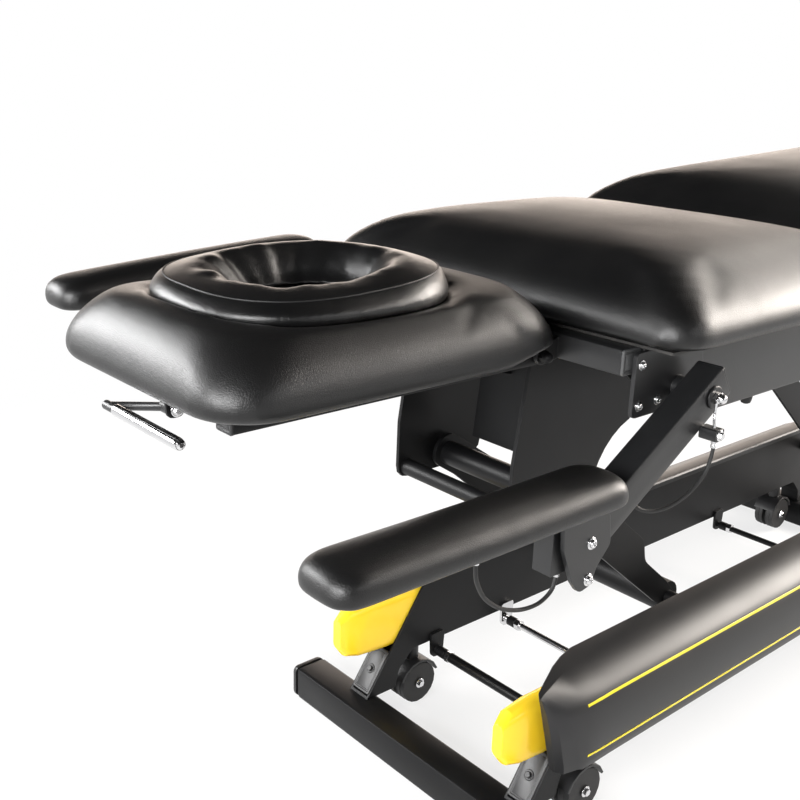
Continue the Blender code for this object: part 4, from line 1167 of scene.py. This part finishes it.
    def seam(self, shop: Workshop, pillow: Cushion) -> None:
        """Welt along the upper outer edge of the face cushion, laid on its filled skin.

        Args:
            shop: Where it is made.
            pillow: The face cushion.
        """
        tree = skin_of(pillow.thing.data)
        half = (self.face_half[0] - self.seam_inset, self.face_half[1] - self.seam_inset)
        path = []
        for point in self.oval(half, self.seam_level):
            spot, normal, _, _ = tree.find_nearest(SHIFT @ Vector(point))
            path.append(SHIFT.inverted() @ (spot + normal * self.seam_lift))
        welt = Solid.tube(path, self.seam_radius, 8, True)
        shop.piece("face_seam", welt, Slot.LEATHER, "head_section", shop.palette.thread)


@dataclass
class ControlCables:
    """The two control cables of the right armrest, each from fitting to fitting."""

    radius: float = 0.0025
    sample: float = 0.004
    upper: Points = (
        (0.0925, -0.345, 0.6395), (0.0925, -0.345, 0.622), (0.084, -0.343, 0.596), (0.062, -0.338, 0.574),
        (0.036, -0.331, 0.561), (0.013, -0.322, 0.5565), (-0.0045, -0.314, 0.5610), (-0.0160, -0.310, 0.5721),
        (-0.0228, -0.310, 0.5831))
    lower: Points = (
        (-0.157, -0.315, 0.5275), (-0.157, -0.315, 0.516), (-0.164, -0.315, 0.501), (-0.184, -0.314, 0.491),
        (-0.213, -0.312, 0.492), (-0.244, -0.311, 0.504), (-0.269, -0.310, 0.524), (-0.283, -0.310, 0.548),
        (-0.286, -0.310, 0.566), (-0.286, -0.310, 0.5797))
    ferrule: Pairs = ((0.0029, 0.0), (0.0036, 0.0004), (0.0036, 0.0030), (0.0032, 0.0034),
                      (0.0032, 0.0058), (0.0036, 0.0062), (0.0036, 0.0094), (0.0029, 0.0100))

    @classmethod
    def smooth(cls, points: Sequence[Point]) -> list[Vector]:
        """Smooth line through points.

        Args:
            points: The points.

        Returns:
            The samples, measured from the cushion's edge.
        """
        spots = [Vector(p) for p in points]
        line = []
        for i in range(len(spots) - 1):
            before, first = spots[max(i - 1, 0)], spots[i]
            last, after = spots[i + 1], spots[min(i + 2, len(spots) - 1)]
            bend = 2 * before - 5 * first + 4 * last - after
            twist = 3 * first - before - 3 * last + after
            count = max(3, int((last - first).length / cls.sample + 0.5))
            for t in (k / count for k in range(count)):
                line.append(0.5 * (2 * first + (last - before) * t + bend * t ** 2 + twist * t ** 3))
        line.append(spots[-1])
        return line

    def build(self, shop: Workshop) -> None:
        """Lay both cables with a crimped ferrule at each end.

        Args:
            shop: Where they are made.
        """
        runs = (("cable_upper", self.upper, "arm_right"), ("cable_lower", self.lower, "arm_pad_right"))
        for name, points, body in runs:
            line = self.smooth(points)
            data = bpy.data.curves.new(name + "_cord", "CURVE")
            data.dimensions = "3D"
            data.bevel_depth = self.radius
            data.bevel_resolution = 4
            data.use_fill_caps = True
            spline = data.splines.new("POLY")
            spline.points.add(len(line) - 1)
            for point, spot in zip(spline.points, line):
                point.co = (*(SHIFT @ spot), 1.0)
            thing = put(name + "_cord", data)
            data.materials.append(shop.palette.of(Slot.RUBBER))
            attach(thing, body)
            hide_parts(name)
            length = sum((b - a).length for a, b in zip(line, line[1:]))
            SHIFT @ line[0]
            log.info("%s: %.0f mm long", name, length * 1000.0)
            self.ferrules(shop, name, line, body)

    def ferrules(self, shop: Workshop, name: str, line: Sequence[Vector], body: str) -> None:
        """Plated sleeves over both ends of a cable.

        Args:
            shop: Where they are made.
            name: Name of the cable.
            line: Its line.
            body: Body it rides on.
        """
        sleeve = Solid.lathe(self.ferrule, 20)
        both = Solid()
        for spot, near in ((line[0], line[3]), (line[-1], line[-4])):
            both.take(sleeve, aim(spot, near - spot))
        shop.piece(name + "_ferrules", both, Slot.BRIGHT, body)


class Hardware:
    """Stock fasteners; each stands on local Z with its seat at the origin."""

    @staticmethod
    def dome_bolt(radius: float) -> Solid:
        """Washer and domed socket head of a radius."""
        profile = ((1.45, 0.0), (1.45, 0.16), (1.36, 0.24), (1.0, 0.24), (1.0, 0.52), (0.94, 0.72),
                   (0.76, 0.92), (0.46, 1.02), (0.42, 0.98), (0.42, 0.66))
        return Solid.lathe([(radius * wide, radius * high) for wide, high in profile], 24)

    @staticmethod
    def hex_bolt(radius: float) -> Solid:
        """Washer and chamfered hexagon head.

        Args:
            radius: Radius of the head's corners.

        Returns:
            The bolt.
        """
        profile = ((1.5, 0.0), (1.5, 0.18), (1.4, 0.26))
        washer = Solid.lathe([(radius * wide, radius * high) for wide, high in profile], 24)
        head = Solid.prism(hexagon(radius), 0.75 * radius, 0.12 * radius)
        return washer.take(head, Matrix.Translation((0.0, 0.0, 0.24 * radius)))

    @staticmethod
    def cap_nut(radius: float) -> Solid:
        """Hexagon with a ball end.

        Args:
            radius: Radius of the hexagon's corners.

        Returns:
            The nut.
        """
        profile = ((0.86, 0.0), (0.86, 0.35), (0.78, 0.72), (0.56, 1.02), (0.28, 1.18), (0.06, 1.22))
        ball = Solid.lathe([(radius * wide, radius * high) for wide, high in profile], 24)
        nut = Solid.prism(hexagon(radius), 0.7 * radius, 0.08 * radius)
        return nut.take(ball, Matrix.Translation((0.0, 0.0, 0.62 * radius)))

    @staticmethod
    def plug(half_a: float, half_b: float, thick: float = 0.0035) -> Solid:
        """Push-in end plug with a rim and a shallow raised panel.

        Args:
            half_a: Half its width.
            half_b: Half its height.
            thick: Thickness of its rim.

        Returns:
            The solid.
        """
        corner = 0.2 * min(half_a, half_b)
        steps = ((0.0, 0.0), (0.0, 0.7), (0.0010, 1.0), (0.0035, 1.0), (0.0045, 0.72), (0.0060, 0.72),
                 (0.0068, 0.9))
        rings = []
        for inset, share in steps:
            outline = box_outline(half_a - inset, half_b - inset, max(corner - inset, 0.001))
            rings.append([(x, y, thick * share) for x, y in outline])
        return Solid.loft(rings)

    @staticmethod
    def collar(inner: float, outer: float, height: float) -> Solid:
        """Chamfered ring.

        Args:
            inner: Radius of its bore.
            outer: Outer radius.
            height: Height.

        Returns:
            The solid.
        """
        edge = 0.18 * (outer - inner)
        return Solid.lathe(((inner, 0.0), (outer - edge, 0.0), (outer, edge), (outer, height - edge),
                            (outer - edge, height), (inner, height)), loop=True)

    @staticmethod
    def set_at(shape: Solid, spots: Sequence[Point], axis: Point) -> Solid:
        """The same fastener at several places, each turned a little more than the last.

        Args:
            shape: The fastener.
            spots: Its seats.
            axis: Where all of them point.

        Returns:
            All of them in one solid.
        """
        group = Solid()
        for i, spot in enumerate(spots):
            group.take(shape, aim(spot, axis, 17.0 * i))
        return group


@dataclass
class ArmFittings:
    """Bolts, nuts, plugs and the pull rod of both armrests; places are those of the left side, lowered."""

    bracket_bolts: Pairs = ((0.024, 0.679), (0.062, 0.681), (0.023, 0.732))
    bracket_bolt_radius: float = 0.0046
    bracket_face: float = 0.2763
    cheek_bolts: Pairs = ((-0.124, 0.558), (-0.125, 0.512))
    cheek_bolt_radius: float = 0.0054
    cheek_face: float = 0.3363
    pin_end: float = 0.334
    nut_radius: float = 0.0078
    washer: Point = (0.0082, 0.0150, 0.0034)
    washer_face: float = 0.3303
    rod_line: Points = ((0.0965, 0.3400, 0.690), (0.0950, 0.3405, 0.676), (0.0930, 0.3420, 0.664),
                        (0.0925, 0.3440, 0.6545))
    rod_radius: float = 0.0018
    rod_eye: Point = (0.0016, 0.0042, 0.0030)
    block_bolt: Point = (0.0925, 0.3525, 0.6475)
    block_bolt_radius: float = 0.0048
    tube_half: Pair = (0.0198, 0.0228)
    tube_ends: Pair = (0.030, 0.022)

    def dress(self, shop: Workshop) -> None:
        """Fit both armrests.

        Args:
            shop: Where the pieces are made.
        """
        for side in Side:
            word, out = side.word, side.out
            swing, level = (SHIFT @ move for move in arm_places(side))
            seats = [side.mirror((x, self.bracket_face, z)) for x, z in self.bracket_bolts]
            bolts = Hardware.set_at(Hardware.dome_bolt(self.bracket_bolt_radius), seats, out)
            shop.piece("bracket_bolts_" + word, bolts, Slot.BRIGHT, "deck")
            seat = side.mirror((ARM_PIVOT[0], self.washer_face, ARM_PIVOT[1]))
            washer = Hardware.set_at(Hardware.collar(*self.washer), [seat], out)
            shop.piece("pivot_washer_" + word, washer, Slot.PLASTIC, "deck")
            seat = side.mirror((ARM_PIVOT[0], self.pin_end, ARM_PIVOT[1]))
            nut = Hardware.set_at(Hardware.cap_nut(self.nut_radius), [seat], out)
            shop.piece("pivot_nut_" + word, nut, Slot.BRIGHT, "deck")
            seats = [side.mirror((x, self.cheek_face, z)) for x, z in self.cheek_bolts]
            bolts = Hardware.set_at(Hardware.dome_bolt(self.cheek_bolt_radius), seats, out)
            shop.piece("cheek_bolts_" + word, bolts, Slot.BRIGHT, "arm_pad_" + word, place=level)
            rod = ControlCables.smooth([side.mirror(spot) for spot in self.rod_line])
            pull = Solid.tube(rod, self.rod_radius, 12)
            pull.take(Hardware.collar(*self.rod_eye), aim(rod[0], out))
            bolt = Hardware.hex_bolt(self.block_bolt_radius)
            pull.take(bolt, aim(side.mirror(self.block_bolt), out, 12.0))
            shop.piece("pull_rod_" + word, pull, Slot.BRIGHT, "arm_" + word, place=swing)
            shop.piece("tube_plugs_" + word, self.tube_plugs(side), Slot.PLASTIC, "arm_" + word, place=swing)

    def tube_plugs(self, side: Side) -> Solid:
        """Plugs of both ends of an arm tube.

        Args:
            side: Which arm.

        Returns:
            Both plugs.
        """
        start = Vector(side.mirror((ARM_PIVOT[0], ARM_Y, ARM_PIVOT[1])))
        end = Vector(side.mirror((ARM_PAD_PIVOT[0], ARM_Y, ARM_PAD_PIVOT[1])))
        way = (end - start).normalized()
        plug = Hardware.plug(*self.tube_half)
        both = Solid().take(plug, aim(start - way * self.tube_ends[0], -way))
        return both.take(plug, aim(end + way * self.tube_ends[1], way))


@dataclass
class BaseFittings:
    """Stripes, caps, nuts and feet of the base; places are those of the left side."""

    stripe_levels: Pair = (0.2275, 0.149)
    stripe_half: float = 0.0019
    stripe_rise: float = 0.0006
    stripe_ends: Pair = (0.030, 1.400)
    stripe_steps: int = 46
    cap_half: Pair = (0.0305, 0.0288)
    cap_corner: float = 0.010
    cap_steps: Pairs = ((1.0, 0.0), (1.0, 0.005), (0.96, 0.0085), (0.86, 0.0108), (0.70, 0.0120))
    cap_x: Pair = (-0.045, 1.372)
    cap_place: Pair = (0.312, 0.029)
    rods: tuple[float, ...] = (0.114, 0.290, 0.985)
    rod_level: float = 0.100
    nut_radius: float = 0.0105
    nut_height: float = 0.010
    nut_edge: float = 0.0012
    nut_y: float = 0.118
    collar: Point = (0.0060, 0.0092, 0.016)
    collar_y: float = 0.130
    plug_spot: Point = (-0.0115, 0.1805, 0.0965)
    plug_way: Point = (-0.824, 0.0, 0.567)
    plug_half: Pair = (0.0205, 0.0400)
    plug_bolt_radius: float = 0.0052
    plug_bolt_seat: float = 0.0030

    def stripe(self, side: Side, level: float) -> Solid:
        """Thin raised line along a cover's outer face.

        Args:
            side: Which cover.
            level: Its height.

        Returns:
            The line.
        """
        skin = NodeSurface("base_cover_" + side.word)
        start, end = self.stripe_ends
        rings = []
        for i in range(self.stripe_steps + 1):
            x = start + (end - start) * i / self.stripe_steps
            ring = []
            for share, way in ((-1.0, -1.0), (-0.8, 1.0), (0.8, 1.0), (1.0, -1.0)):
                z = level + share * self.stripe_half
                found = skin.hit((x, side.value * FAR_OUT, z), (0.0, -side.value, 0.0))
                if found is not None:
                    ring.append((x, found.y + side.value * way * self.stripe_rise, z))
            if len(ring) == 4:
                rings.append(ring)
        return Solid.loft(rings)

    def dress(self, shop: Workshop) -> None:
        """Fit the base.

        Args:
            shop: Where the pieces are made.
        """
        caps, nuts, collars = Solid(), Solid(), Solid()
        cap, collar = self.foot_cap(), Hardware.collar(*self.collar)
        nut = Solid.prism(hexagon(self.nut_radius), self.nut_height, self.nut_edge)
        for side in Side:
            for i, level in enumerate(self.stripe_levels):
                line = self.stripe(side, level)
                shop.piece(f"stripe_{side.word}_{i}", line, Slot.YELLOW, "base", shop.palette.stripe)
            for x in self.cap_x:
                caps.take(cap, aim(side.mirror((x, *self.cap_place)), side.out))
            for x in self.rods:
                nuts.take(nut, aim(side.mirror((x, self.nut_y, self.rod_level)), side.out, 20.0))
                collars.take(collar, aim(side.mirror((x, self.collar_y, self.rod_level)), side.out))
        shop.piece("foot_caps", caps, Slot.PLASTIC, "base")
        shop.piece("beam_end_plugs", self.beam_plugs(), Slot.PLASTIC, "base")
        shop.piece("rod_nuts", nuts, Slot.BRIGHT, "base")
        shop.piece("rod_collars", collars, Slot.STEEL, "base")

    def beam_plugs(self) -> Solid:
        """Black plugs that close the slanted head ends of both beams below the yellow ones.

        Returns:
            Both plugs with their bolts.
        """
        both = Solid()
        way = Vector(self.plug_way)
        for side in Side:
            spot = Vector(side.mirror(self.plug_spot))
            both.take(Hardware.plug(*self.plug_half), aim(spot, way))
            seat = spot + way * self.plug_bolt_seat
            both.take(Hardware.hex_bolt(self.plug_bolt_radius), aim(seat, way, 9.0))
        return both

    def foot_cap(self) -> Solid:
        """Rounded end cap of a foot tube.

        Returns:
            The cap.
        """
        rings = []
        for share, level in self.cap_steps:
            wide, tall = (share * half for half in self.cap_half)
            outline = box_outline(wide, tall, share * self.cap_corner, 6)
            rings.append([(x, y, level) for x, y in outline])
        return Solid.loft(rings)


@dataclass
class CastorFittings:
    """Treads and axle bolts of the four castors."""

    places: tuple[tuple[str, float], ...] = (("head", 0.082), ("foot", 1.284))
    across: float = 0.186
    axle: float = 0.042
    rib_reach: float = 0.0365
    ribs: tuple[float, ...] = (-0.014, -0.005, 0.005, 0.014)
    rib_radius: float = 0.0011
    rib_points: int = 48
    fork_half: float = 0.0255
    bolt_radius: float = 0.0060

    def dress(self, shop: Workshop) -> None:
        """Fit the castors.

        Args:
            shop: Where the pieces are made.
        """
        for end, x in self.places:
            for side in Side:
                y = side.value * self.across
                name = f"{end}_{side.word}"
                bolts, tread = Solid(), Solid()
                for way in (-1.0, 1.0):
                    seat = (x, y + way * self.fork_half, self.axle)
                    bolts.take(Hardware.hex_bolt(self.bolt_radius), aim(seat, (0.0, way, 0.0), 10.0))
                shop.piece("axle_bolts_" + name, bolts, Slot.BRIGHT, f"castor_{name}_fork")
                for rib in self.ribs:
                    reach = self.rib_reach
                    ring = [(x + reach * math.cos(t), y + rib, self.axle + reach * math.sin(t))
                            for t in angles(self.rib_points)]
                    tread.take(Solid.tube(ring, self.rib_radius, 8, True))
                shop.piece("tread_" + name, tread, Slot.RUBBER, f"castor_{name}_wheel")


@dataclass
class DeckFittings:
    """Plugs, bumpers and screws of the deck frame; places are those of the left side."""

    front_tube: Point = (0.0165, 0.262, 0.735)
    front_plug: Pair = (0.0170, 0.0165)
    rail_end: Point = (1.060, 0.250, 0.6945)
    rail_plug: Pair = (0.0192, 0.0565)
    bumper: Pairs = ((0.0095, 0.0), (0.0095, 0.003), (0.0080, 0.012), (0.0068, 0.0155), (0.0040, 0.0170))
    bumper_x: Pair = (0.323, 0.780)
    bumper_place: Pair = (0.250, 0.637)
    screw: Point = (0.060, 0.302, 0.7523)
    screw_radius: float = 0.0034
    screw_pitch: float = 0.096
    screw_count: int = 6

    def dress(self, shop: Workshop) -> None:
        """Fit the deck.

        Args:
            shop: Where the pieces are made.
        """
        plugs, ends, bumpers, screws = Solid(), Solid(), Solid(), Solid()
        foot, screw = Solid.lathe(self.bumper, 24), Hardware.dome_bolt(self.screw_radius)
        for side in Side:
            plugs.take(Hardware.plug(*self.front_plug), aim(side.mirror(self.front_tube), side.out))
            ends.take(Hardware.plug(*self.rail_plug), aim(side.mirror(self.rail_end), TO_FOOT))
            for x in self.bumper_x:
                bumpers.take(foot, aim(side.mirror((x, *self.bumper_place)), DOWN))
            for i in range(self.screw_count):
                x, y, z = side.mirror(self.screw)
                screws.take(screw, aim((x + self.screw_pitch * i, y, z), DOWN, 23.0 * i))
        shop.piece("front_tube_plugs", plugs, Slot.PLASTIC, "deck", shop.palette.grey_plug)
        shop.piece("rail_plugs", ends, Slot.PLASTIC, "deck")
        shop.piece("rail_bumpers", bumpers, Slot.RUBBER, "deck")
        shop.piece("board_screws", screws, Slot.BRIGHT, "deck")


@dataclass
class HeadFittings:
    """Plugs, hinge caps, screws and the release lever's pin and sleeve."""

    rail_end: Point = (-0.484, 0.1375, 0.726)
    rail_plug: Pair = (0.0148, 0.0148)
    hinge_end: float = 0.162
    cap_radius: float = 0.0085
    screw: Point = (-0.440, 0.166, 0.7413)
    screw_radius: float = 0.0032
    screw_pitch: float = 0.115
    screw_count: int = 4
    lever_pin: Point = (-0.473, -0.0178, 0.701)
    pin_radius: float = 0.0052
    sleeve: Pairs = ((0.0059, 0.0), (0.0069, 0.0008), (0.0072, 0.004), (0.0072, 0.137), (0.0067, 0.1415),
                     (0.0052, 0.1450), (0.0026, 0.1468))
    sleeve_end: Point = (-0.514, 0.0475, 0.692)

    def dress(self, shop: Workshop) -> None:
        """Fit the head section.

        Args:
            shop: Where the pieces are made.
        """
        plugs, caps, screws = Solid(), Solid(), Solid()
        screw = Hardware.dome_bolt(self.screw_radius)
        for side in Side:
            plugs.take(Hardware.plug(*self.rail_plug), aim(side.mirror(self.rail_end), TO_HEAD))
            hinge = side.mirror((HEAD_HINGE[0], self.hinge_end, HEAD_HINGE[1]))
            caps.take(Hardware.cap_nut(self.cap_radius), aim(hinge, side.out))
            for i in range(self.screw_count):
                x, y, z = side.mirror(self.screw)
                screws.take(screw, aim((x + self.screw_pitch * i, y, z), DOWN, 31.0 * i))
        shop.piece("head_rail_plugs", plugs, Slot.PLASTIC, "head_section")
        shop.piece("head_hinge_caps", caps, Slot.STEEL, "deck")
        shop.piece("head_board_screws", screws, Slot.BRIGHT, "head_section")
        pin = Hardware.set_at(Hardware.hex_bolt(self.pin_radius), [self.lever_pin], Side.RIGHT.out)
        shop.piece("lever_pin", pin, Slot.BRIGHT, "head_section")
        sleeve = Solid().take(Solid.lathe(self.sleeve), aim(self.sleeve_end, Side.RIGHT.out))
        shop.piece("lever_sleeve", sleeve, Slot.BRIGHT, "lever")


@dataclass
class LegFittings:
    """Hinge caps of the leg section."""

    hinge_end: float = 0.2425
    cap_radius: float = 0.0085

    def dress(self, shop: Workshop) -> None:
        """Fit the leg section.

        Args:
            shop: Where the pieces are made.
        """
        caps = Solid()
        for side in Side:
            hinge = side.mirror((LEG_HINGE[0], self.hinge_end, LEG_HINGE[1]))
            caps.take(Hardware.cap_nut(self.cap_radius), aim(hinge, side.out))
        shop.piece("leg_hinge_caps", caps, Slot.BRIGHT, "deck")


@dataclass
class LiftFittings:
    """Collars of the gas springs and bolts of the drive."""

    springs: tuple[tuple[str, Pair, Pair], ...] = (("head", (0.045, 0.668), (-0.222, 0.698)),
                                                   ("leg", (0.675, 0.660), (0.8613, 0.7520)))
    spring_share: float = 0.60
    lower_collar: Point = (0.0105, 0.0124, 0.0060)
    lower_reach: float = 0.020
    upper_collar: Point = (0.0105, 0.0122, 0.0045)
    upper_reach: float = 0.012
    drive_start: Point = (1.040, -0.131, 0.200)
    drive_tip: Point = (1.371, -0.131, 0.2975)
    gearbox_half: float = 0.0205
    gearbox_bolts: Pairs = ((0.030, 0.016), (0.072, 0.016), (0.030, -0.048), (0.072, -0.048))
    gearbox_bolt_radius: float = 0.0030

    def dress(self, shop: Workshop) -> None:
        """Fit the springs and the drive.

        Args:
            shop: Where the pieces are made.
        """
        for name, start, end in self.springs:
            self.spring(shop, name, start, end)
        self.drive(shop)

    def spring(self, shop: Workshop, name: str, start: Pair, end: Pair) -> None:
        """Collars of a gas spring's body.

        Args:
            shop: Where they are made.
            name: Which spring.
            start: X and Z of its fixed eye.
            end: X and Z of its rod's eye.
        """
        a, b = Vector((start[0], 0.0, start[1])), Vector((end[0], 0.0, end[1]))
        way = (b - a).normalized()
        last = (b - a).length * self.spring_share - self.upper_reach
        rings = Solid().take(Hardware.collar(*self.lower_collar), aim(a + way * self.lower_reach, way))
        rings.take(Hardware.collar(*self.upper_collar), aim(a + way * last, way))
        shop.piece(name + "_spring_collars", rings, Slot.STEEL, name + "_spring_body")

    def drive(self, shop: Workshop) -> None:
        """Bolts on both sides of the gearbox.

        Args:
            shop: Where they are made.
        """
        a, b = Vector(self.drive_start), Vector(self.drive_tip)
        way = (b - a).normalized()
        up = Vector((-way.z, 0.0, way.x))
        bolts = Solid()
        for side in (Side.RIGHT, Side.LEFT):
            out = Vector(side.out)
            for along, rise in self.gearbox_bolts:
                seat = a + way * along + up * rise + out * self.gearbox_half
                bolts.take(Hardware.dome_bolt(self.gearbox_bolt_radius), aim(seat, out))
        shop.piece("gearbox_bolts", bolts, Slot.BRIGHT, "drive_body")


class FrameDress:
    """Finishes and smooth shading of the CAD nodes that stay in view."""

    satin = ("armrest_tube_left", "armrest_tube_right", "armrest_bracket_left", "armrest_bracket_right",
             "armrest_carrier_left", "armrest_carrier_right", "deck_rail_left", "deck_rail_right",
             "deck_front_tube", "release_lever")
    soft_angle = 31.0
    joined = 0.00002

    def __init__(self, palette: Palette) -> None:
        """Keep the finishes."""
        self.palette = palette

    def shading(self) -> bpy.types.GeometryNodeTree:
        """Modifier that joins split corners and keeps only real edges hard.

        Returns:
            Its node tree.
        """
        tree = bpy.data.node_groups.new("soft_shading", "GeometryNodeTree")
        for way in ("INPUT", "OUTPUT"):
            tree.interface.new_socket("Geometry", in_out=way, socket_type="NodeSocketGeometry")
        g = Graph(tree)
        start = g.add("NodeGroupInput")
        plain = g.add("GeometryNodeRemoveAttribute", None, {0: start, "Name": "custom_normal"})
        merged = g.add("GeometryNodeMergeByDistance", None, {0: plain, "Distance": self.joined})
        faces = g.add("GeometryNodeSetShadeSmooth", {"domain": "FACE"}, {0: merged})
        angle = g.add("GeometryNodeInputMeshEdgeAngle", output="Unsigned Angle")
        compare = {"data_type": "FLOAT", "operation": "LESS_THAN"}
        soft = g.add("FunctionNodeCompare", compare, {0: angle, 1: math.radians(self.soft_angle)})
        edges = g.add("GeometryNodeSetShadeSmooth", {"domain": "EDGE"}, {0: faces, "Shade Smooth": soft})
        g.node("NodeGroupOutput", None, {0: edges})
        return tree

    def dress(self) -> None:
        """Give every CAD node its finish."""
        tree = self.shading()
        for name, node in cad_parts.items():
            for place in node.material_slots:
                words = place.material.name.split(".")[0]
                place.material = self.palette.satin if name in self.satin else self.palette.of(Slot(words))
            soft = node.modifiers.new("soft_shading", "NODES")
            soft.node_group = tree
            log.info("%s dressed", name)


@dataclass(frozen=True)
class Lamp:
    """One soft box: where it stands, what it faces, its width and height, watts and colour."""

    name: str
    spot: Point
    target: Point
    size: Pair
    power: float
    colour: Colour = (1.0, 1.0, 1.0)

    def build(self) -> None:
        """Put the lamp up, out of the camera's sight."""
        data = bpy.data.lights.new(self.name, "AREA")
        data.shape = "RECTANGLE"
        data.size, data.size_y = self.size
        data.energy = self.power
        data.color = self.colour
        lamp = put(self.name, data)
        lamp.matrix_world = SHIFT @ aim(self.spot, Vector(self.spot) - Vector(self.target))
        lamp.visible_camera = False
        log.info("%s placed", self.name)

@dataclass
class Studio:
    """Camera, floor and lights; colours of the world are those of its low ring and its upper half."""

    eye: Point = (-1.0255, -1.0157, 1.0759)
    yaw: float = 41.51
    pitch: float = 17.68
    roll: float = 1.77
    lens: float = 47.517
    sensor: float = 36.0
    near_clip: float = 0.02
    bright_way: Pair = (0.88, 0.47)
    ring_dim: Colour = (0.30, 0.29, 0.29)
    ring_bright: Colour = (4.8, 4.15, 3.65)
    above: Colour = (0.022, 0.022, 0.023)
    white: Colour = (1.0, 1.0, 1.0)
    warm: Colour = (1.0, 0.93, 0.86)
    floor_half: float = 30.0
    floor_paint: Colour = (0.86, 0.86, 0.855)
    floor_glow: float = 0.74
    floor_fade: Pair = (1.1, 2.3)

    def camera(self) -> None:
        """Camera at the photo's angle."""
        yaw, pitch, roll = (math.radians(v) for v in (self.yaw, self.pitch, self.roll))
        ahead = Vector((math.sin(yaw) * math.cos(pitch), math.cos(yaw) * math.cos(pitch), -math.sin(pitch)))
        flat = Vector((math.cos(yaw), -math.sin(yaw), 0.0))
        tall = flat.cross(ahead)
        right = flat * math.cos(roll) + tall * math.sin(roll)
        up = tall * math.cos(roll) - flat * math.sin(roll)
        turn = Matrix((right, up, -ahead)).transposed().to_4x4()
        data = bpy.data.cameras.new("photo_camera")
        data.lens = self.lens
        data.sensor_width = self.sensor
        data.clip_start = self.near_clip
        camera = put("photo_camera", data)
        camera.matrix_world = SHIFT @ Matrix.Translation(self.eye) @ turn
        bpy.context.scene.camera = camera
        log.info("camera placed")

    def world(self) -> None:
        """White for the camera, and for the table a low ring that is bright on one side, dark above."""
        world = bpy.data.worlds.new("studio")
        bpy.context.scene.world = world
        world.use_nodes = True
        g = Graph(world.node_tree)
        seen = g.add("ShaderNodeLightPath", output="Is Camera Ray")
        seen = seen.highest(g.add("ShaderNodeLightPath", output="Is Transmission Ray"))
        way = g.add("ShaderNodeTexCoord", output="Generated")
        x, y, z = (g.add("ShaderNodeSeparateXYZ", None, {0: way}, axis) for axis in "XYZ")
        along = x * self.bright_way[0] + y * self.bright_way[1]
        ring = g.blend(along.step(0.45, 1.0), self.ring_dim, self.ring_bright)
        glow = g.blend(z.step(0.13, 0.31), ring, self.above)
        soft = g.add("ShaderNodeBackground", None, {"Color": glow, "Strength": 1.0})
        white = g.add("ShaderNodeBackground", None, {"Color": self.white, "Strength": 1.0})
        mix = g.add("ShaderNodeMixShader", None, {0: seen, 1: soft, 2: white})
        g.node("ShaderNodeOutputWorld", None, {"Surface": mix})
        log.info("world lit")

    def floor(self) -> None:
        """Pale floor that reads as white and keeps the shadow."""
        far = self.floor_half
        corners = [Vector((x, y, 0.0)) for x, y in ((-far, -far), (far, -far), (far, far), (-far, far))]
        thing = put("floor", Solid(corners, [(0, 1, 2, 3)]).mesh("floor"))
        g = FinishGraph("floor_finish")
        seen = g.add("ShaderNodeLightPath", output="Is Camera Ray")
        seen = seen.highest(g.add("ShaderNodeLightPath", output="Is Glossy Ray"))
        away = g.add("ShaderNodeVectorMath", {"operation": "LENGTH"}, {0: g.place()}, "Value")
        share = self.floor_glow + away.step(*self.floor_fade) * (1.0 - self.floor_glow)
        paint = g.add("ShaderNodeBsdfDiffuse", None, {"Color": self.floor_paint})
        glow = g.add("ShaderNodeEmission", None, {"Color": self.white, "Strength": 1.0})
        finish = g.close(g.add("ShaderNodeMixShader", None, {0: seen * share, 1: paint, 2: glow}))
        thing.data.materials.append(finish)
        log.info("floor laid")

    def build(self) -> None:
        """Set the whole studio up."""
        bpy.context.scene.view_settings.view_transform = "Standard"
        self.camera()
        self.world()
        self.floor()
        lamps = (
            Lamp("back_softbox", (-2.4, 2.5, 1.65), (-0.4, 0.0, 0.75), (3.0, 1.0), 190.0),
            Lamp("left_softbox", (-2.45, -0.70, 1.36), (-0.4, -0.1, 0.78), (1.9, 0.9), 105.0),
            Lamp("near_softbox", (0.9, -2.9, 1.8), (0.0, 0.0, 0.75), (2.8, 0.8), 20.0),
            Lamp("foot_softbox", (3.3, -1.2, 1.8), (0.5, 0.0, 0.7), (1.8, 1.4), 190.0, self.warm),
            Lamp("foot_high_softbox", (3.0, 0.2, 2.6), (0.5, 0.0, 0.5), (1.4, 1.0), 24.0, self.warm),
        )
        for lamp in lamps:
            lamp.build()


def write_sizes() -> None:
    """Bring the view layer up to date.
    """
    bpy.context.view_layer.update()


def main() -> None:
    """Build the studio and dress the table."""
    logging.basicConfig(level=logging.INFO, format="%(message)s")
    bpy.context.view_layer.update()
    Studio().build()
    palette = Palette()
    shop = Workshop(palette)
    FrameDress(palette).dress()
    ControlCables().build(shop)
    groups = (ArmFittings(), BaseFittings(), CastorFittings(), DeckFittings(), HeadFittings(), LegFittings(),
              LiftFittings())
    for group in groups:
        group.dress(shop)
    TablePads().build(shop)
    log.info("pieces made: %d", len(shop.made))
    write_sizes()


if __name__ == "__main__":
    main()
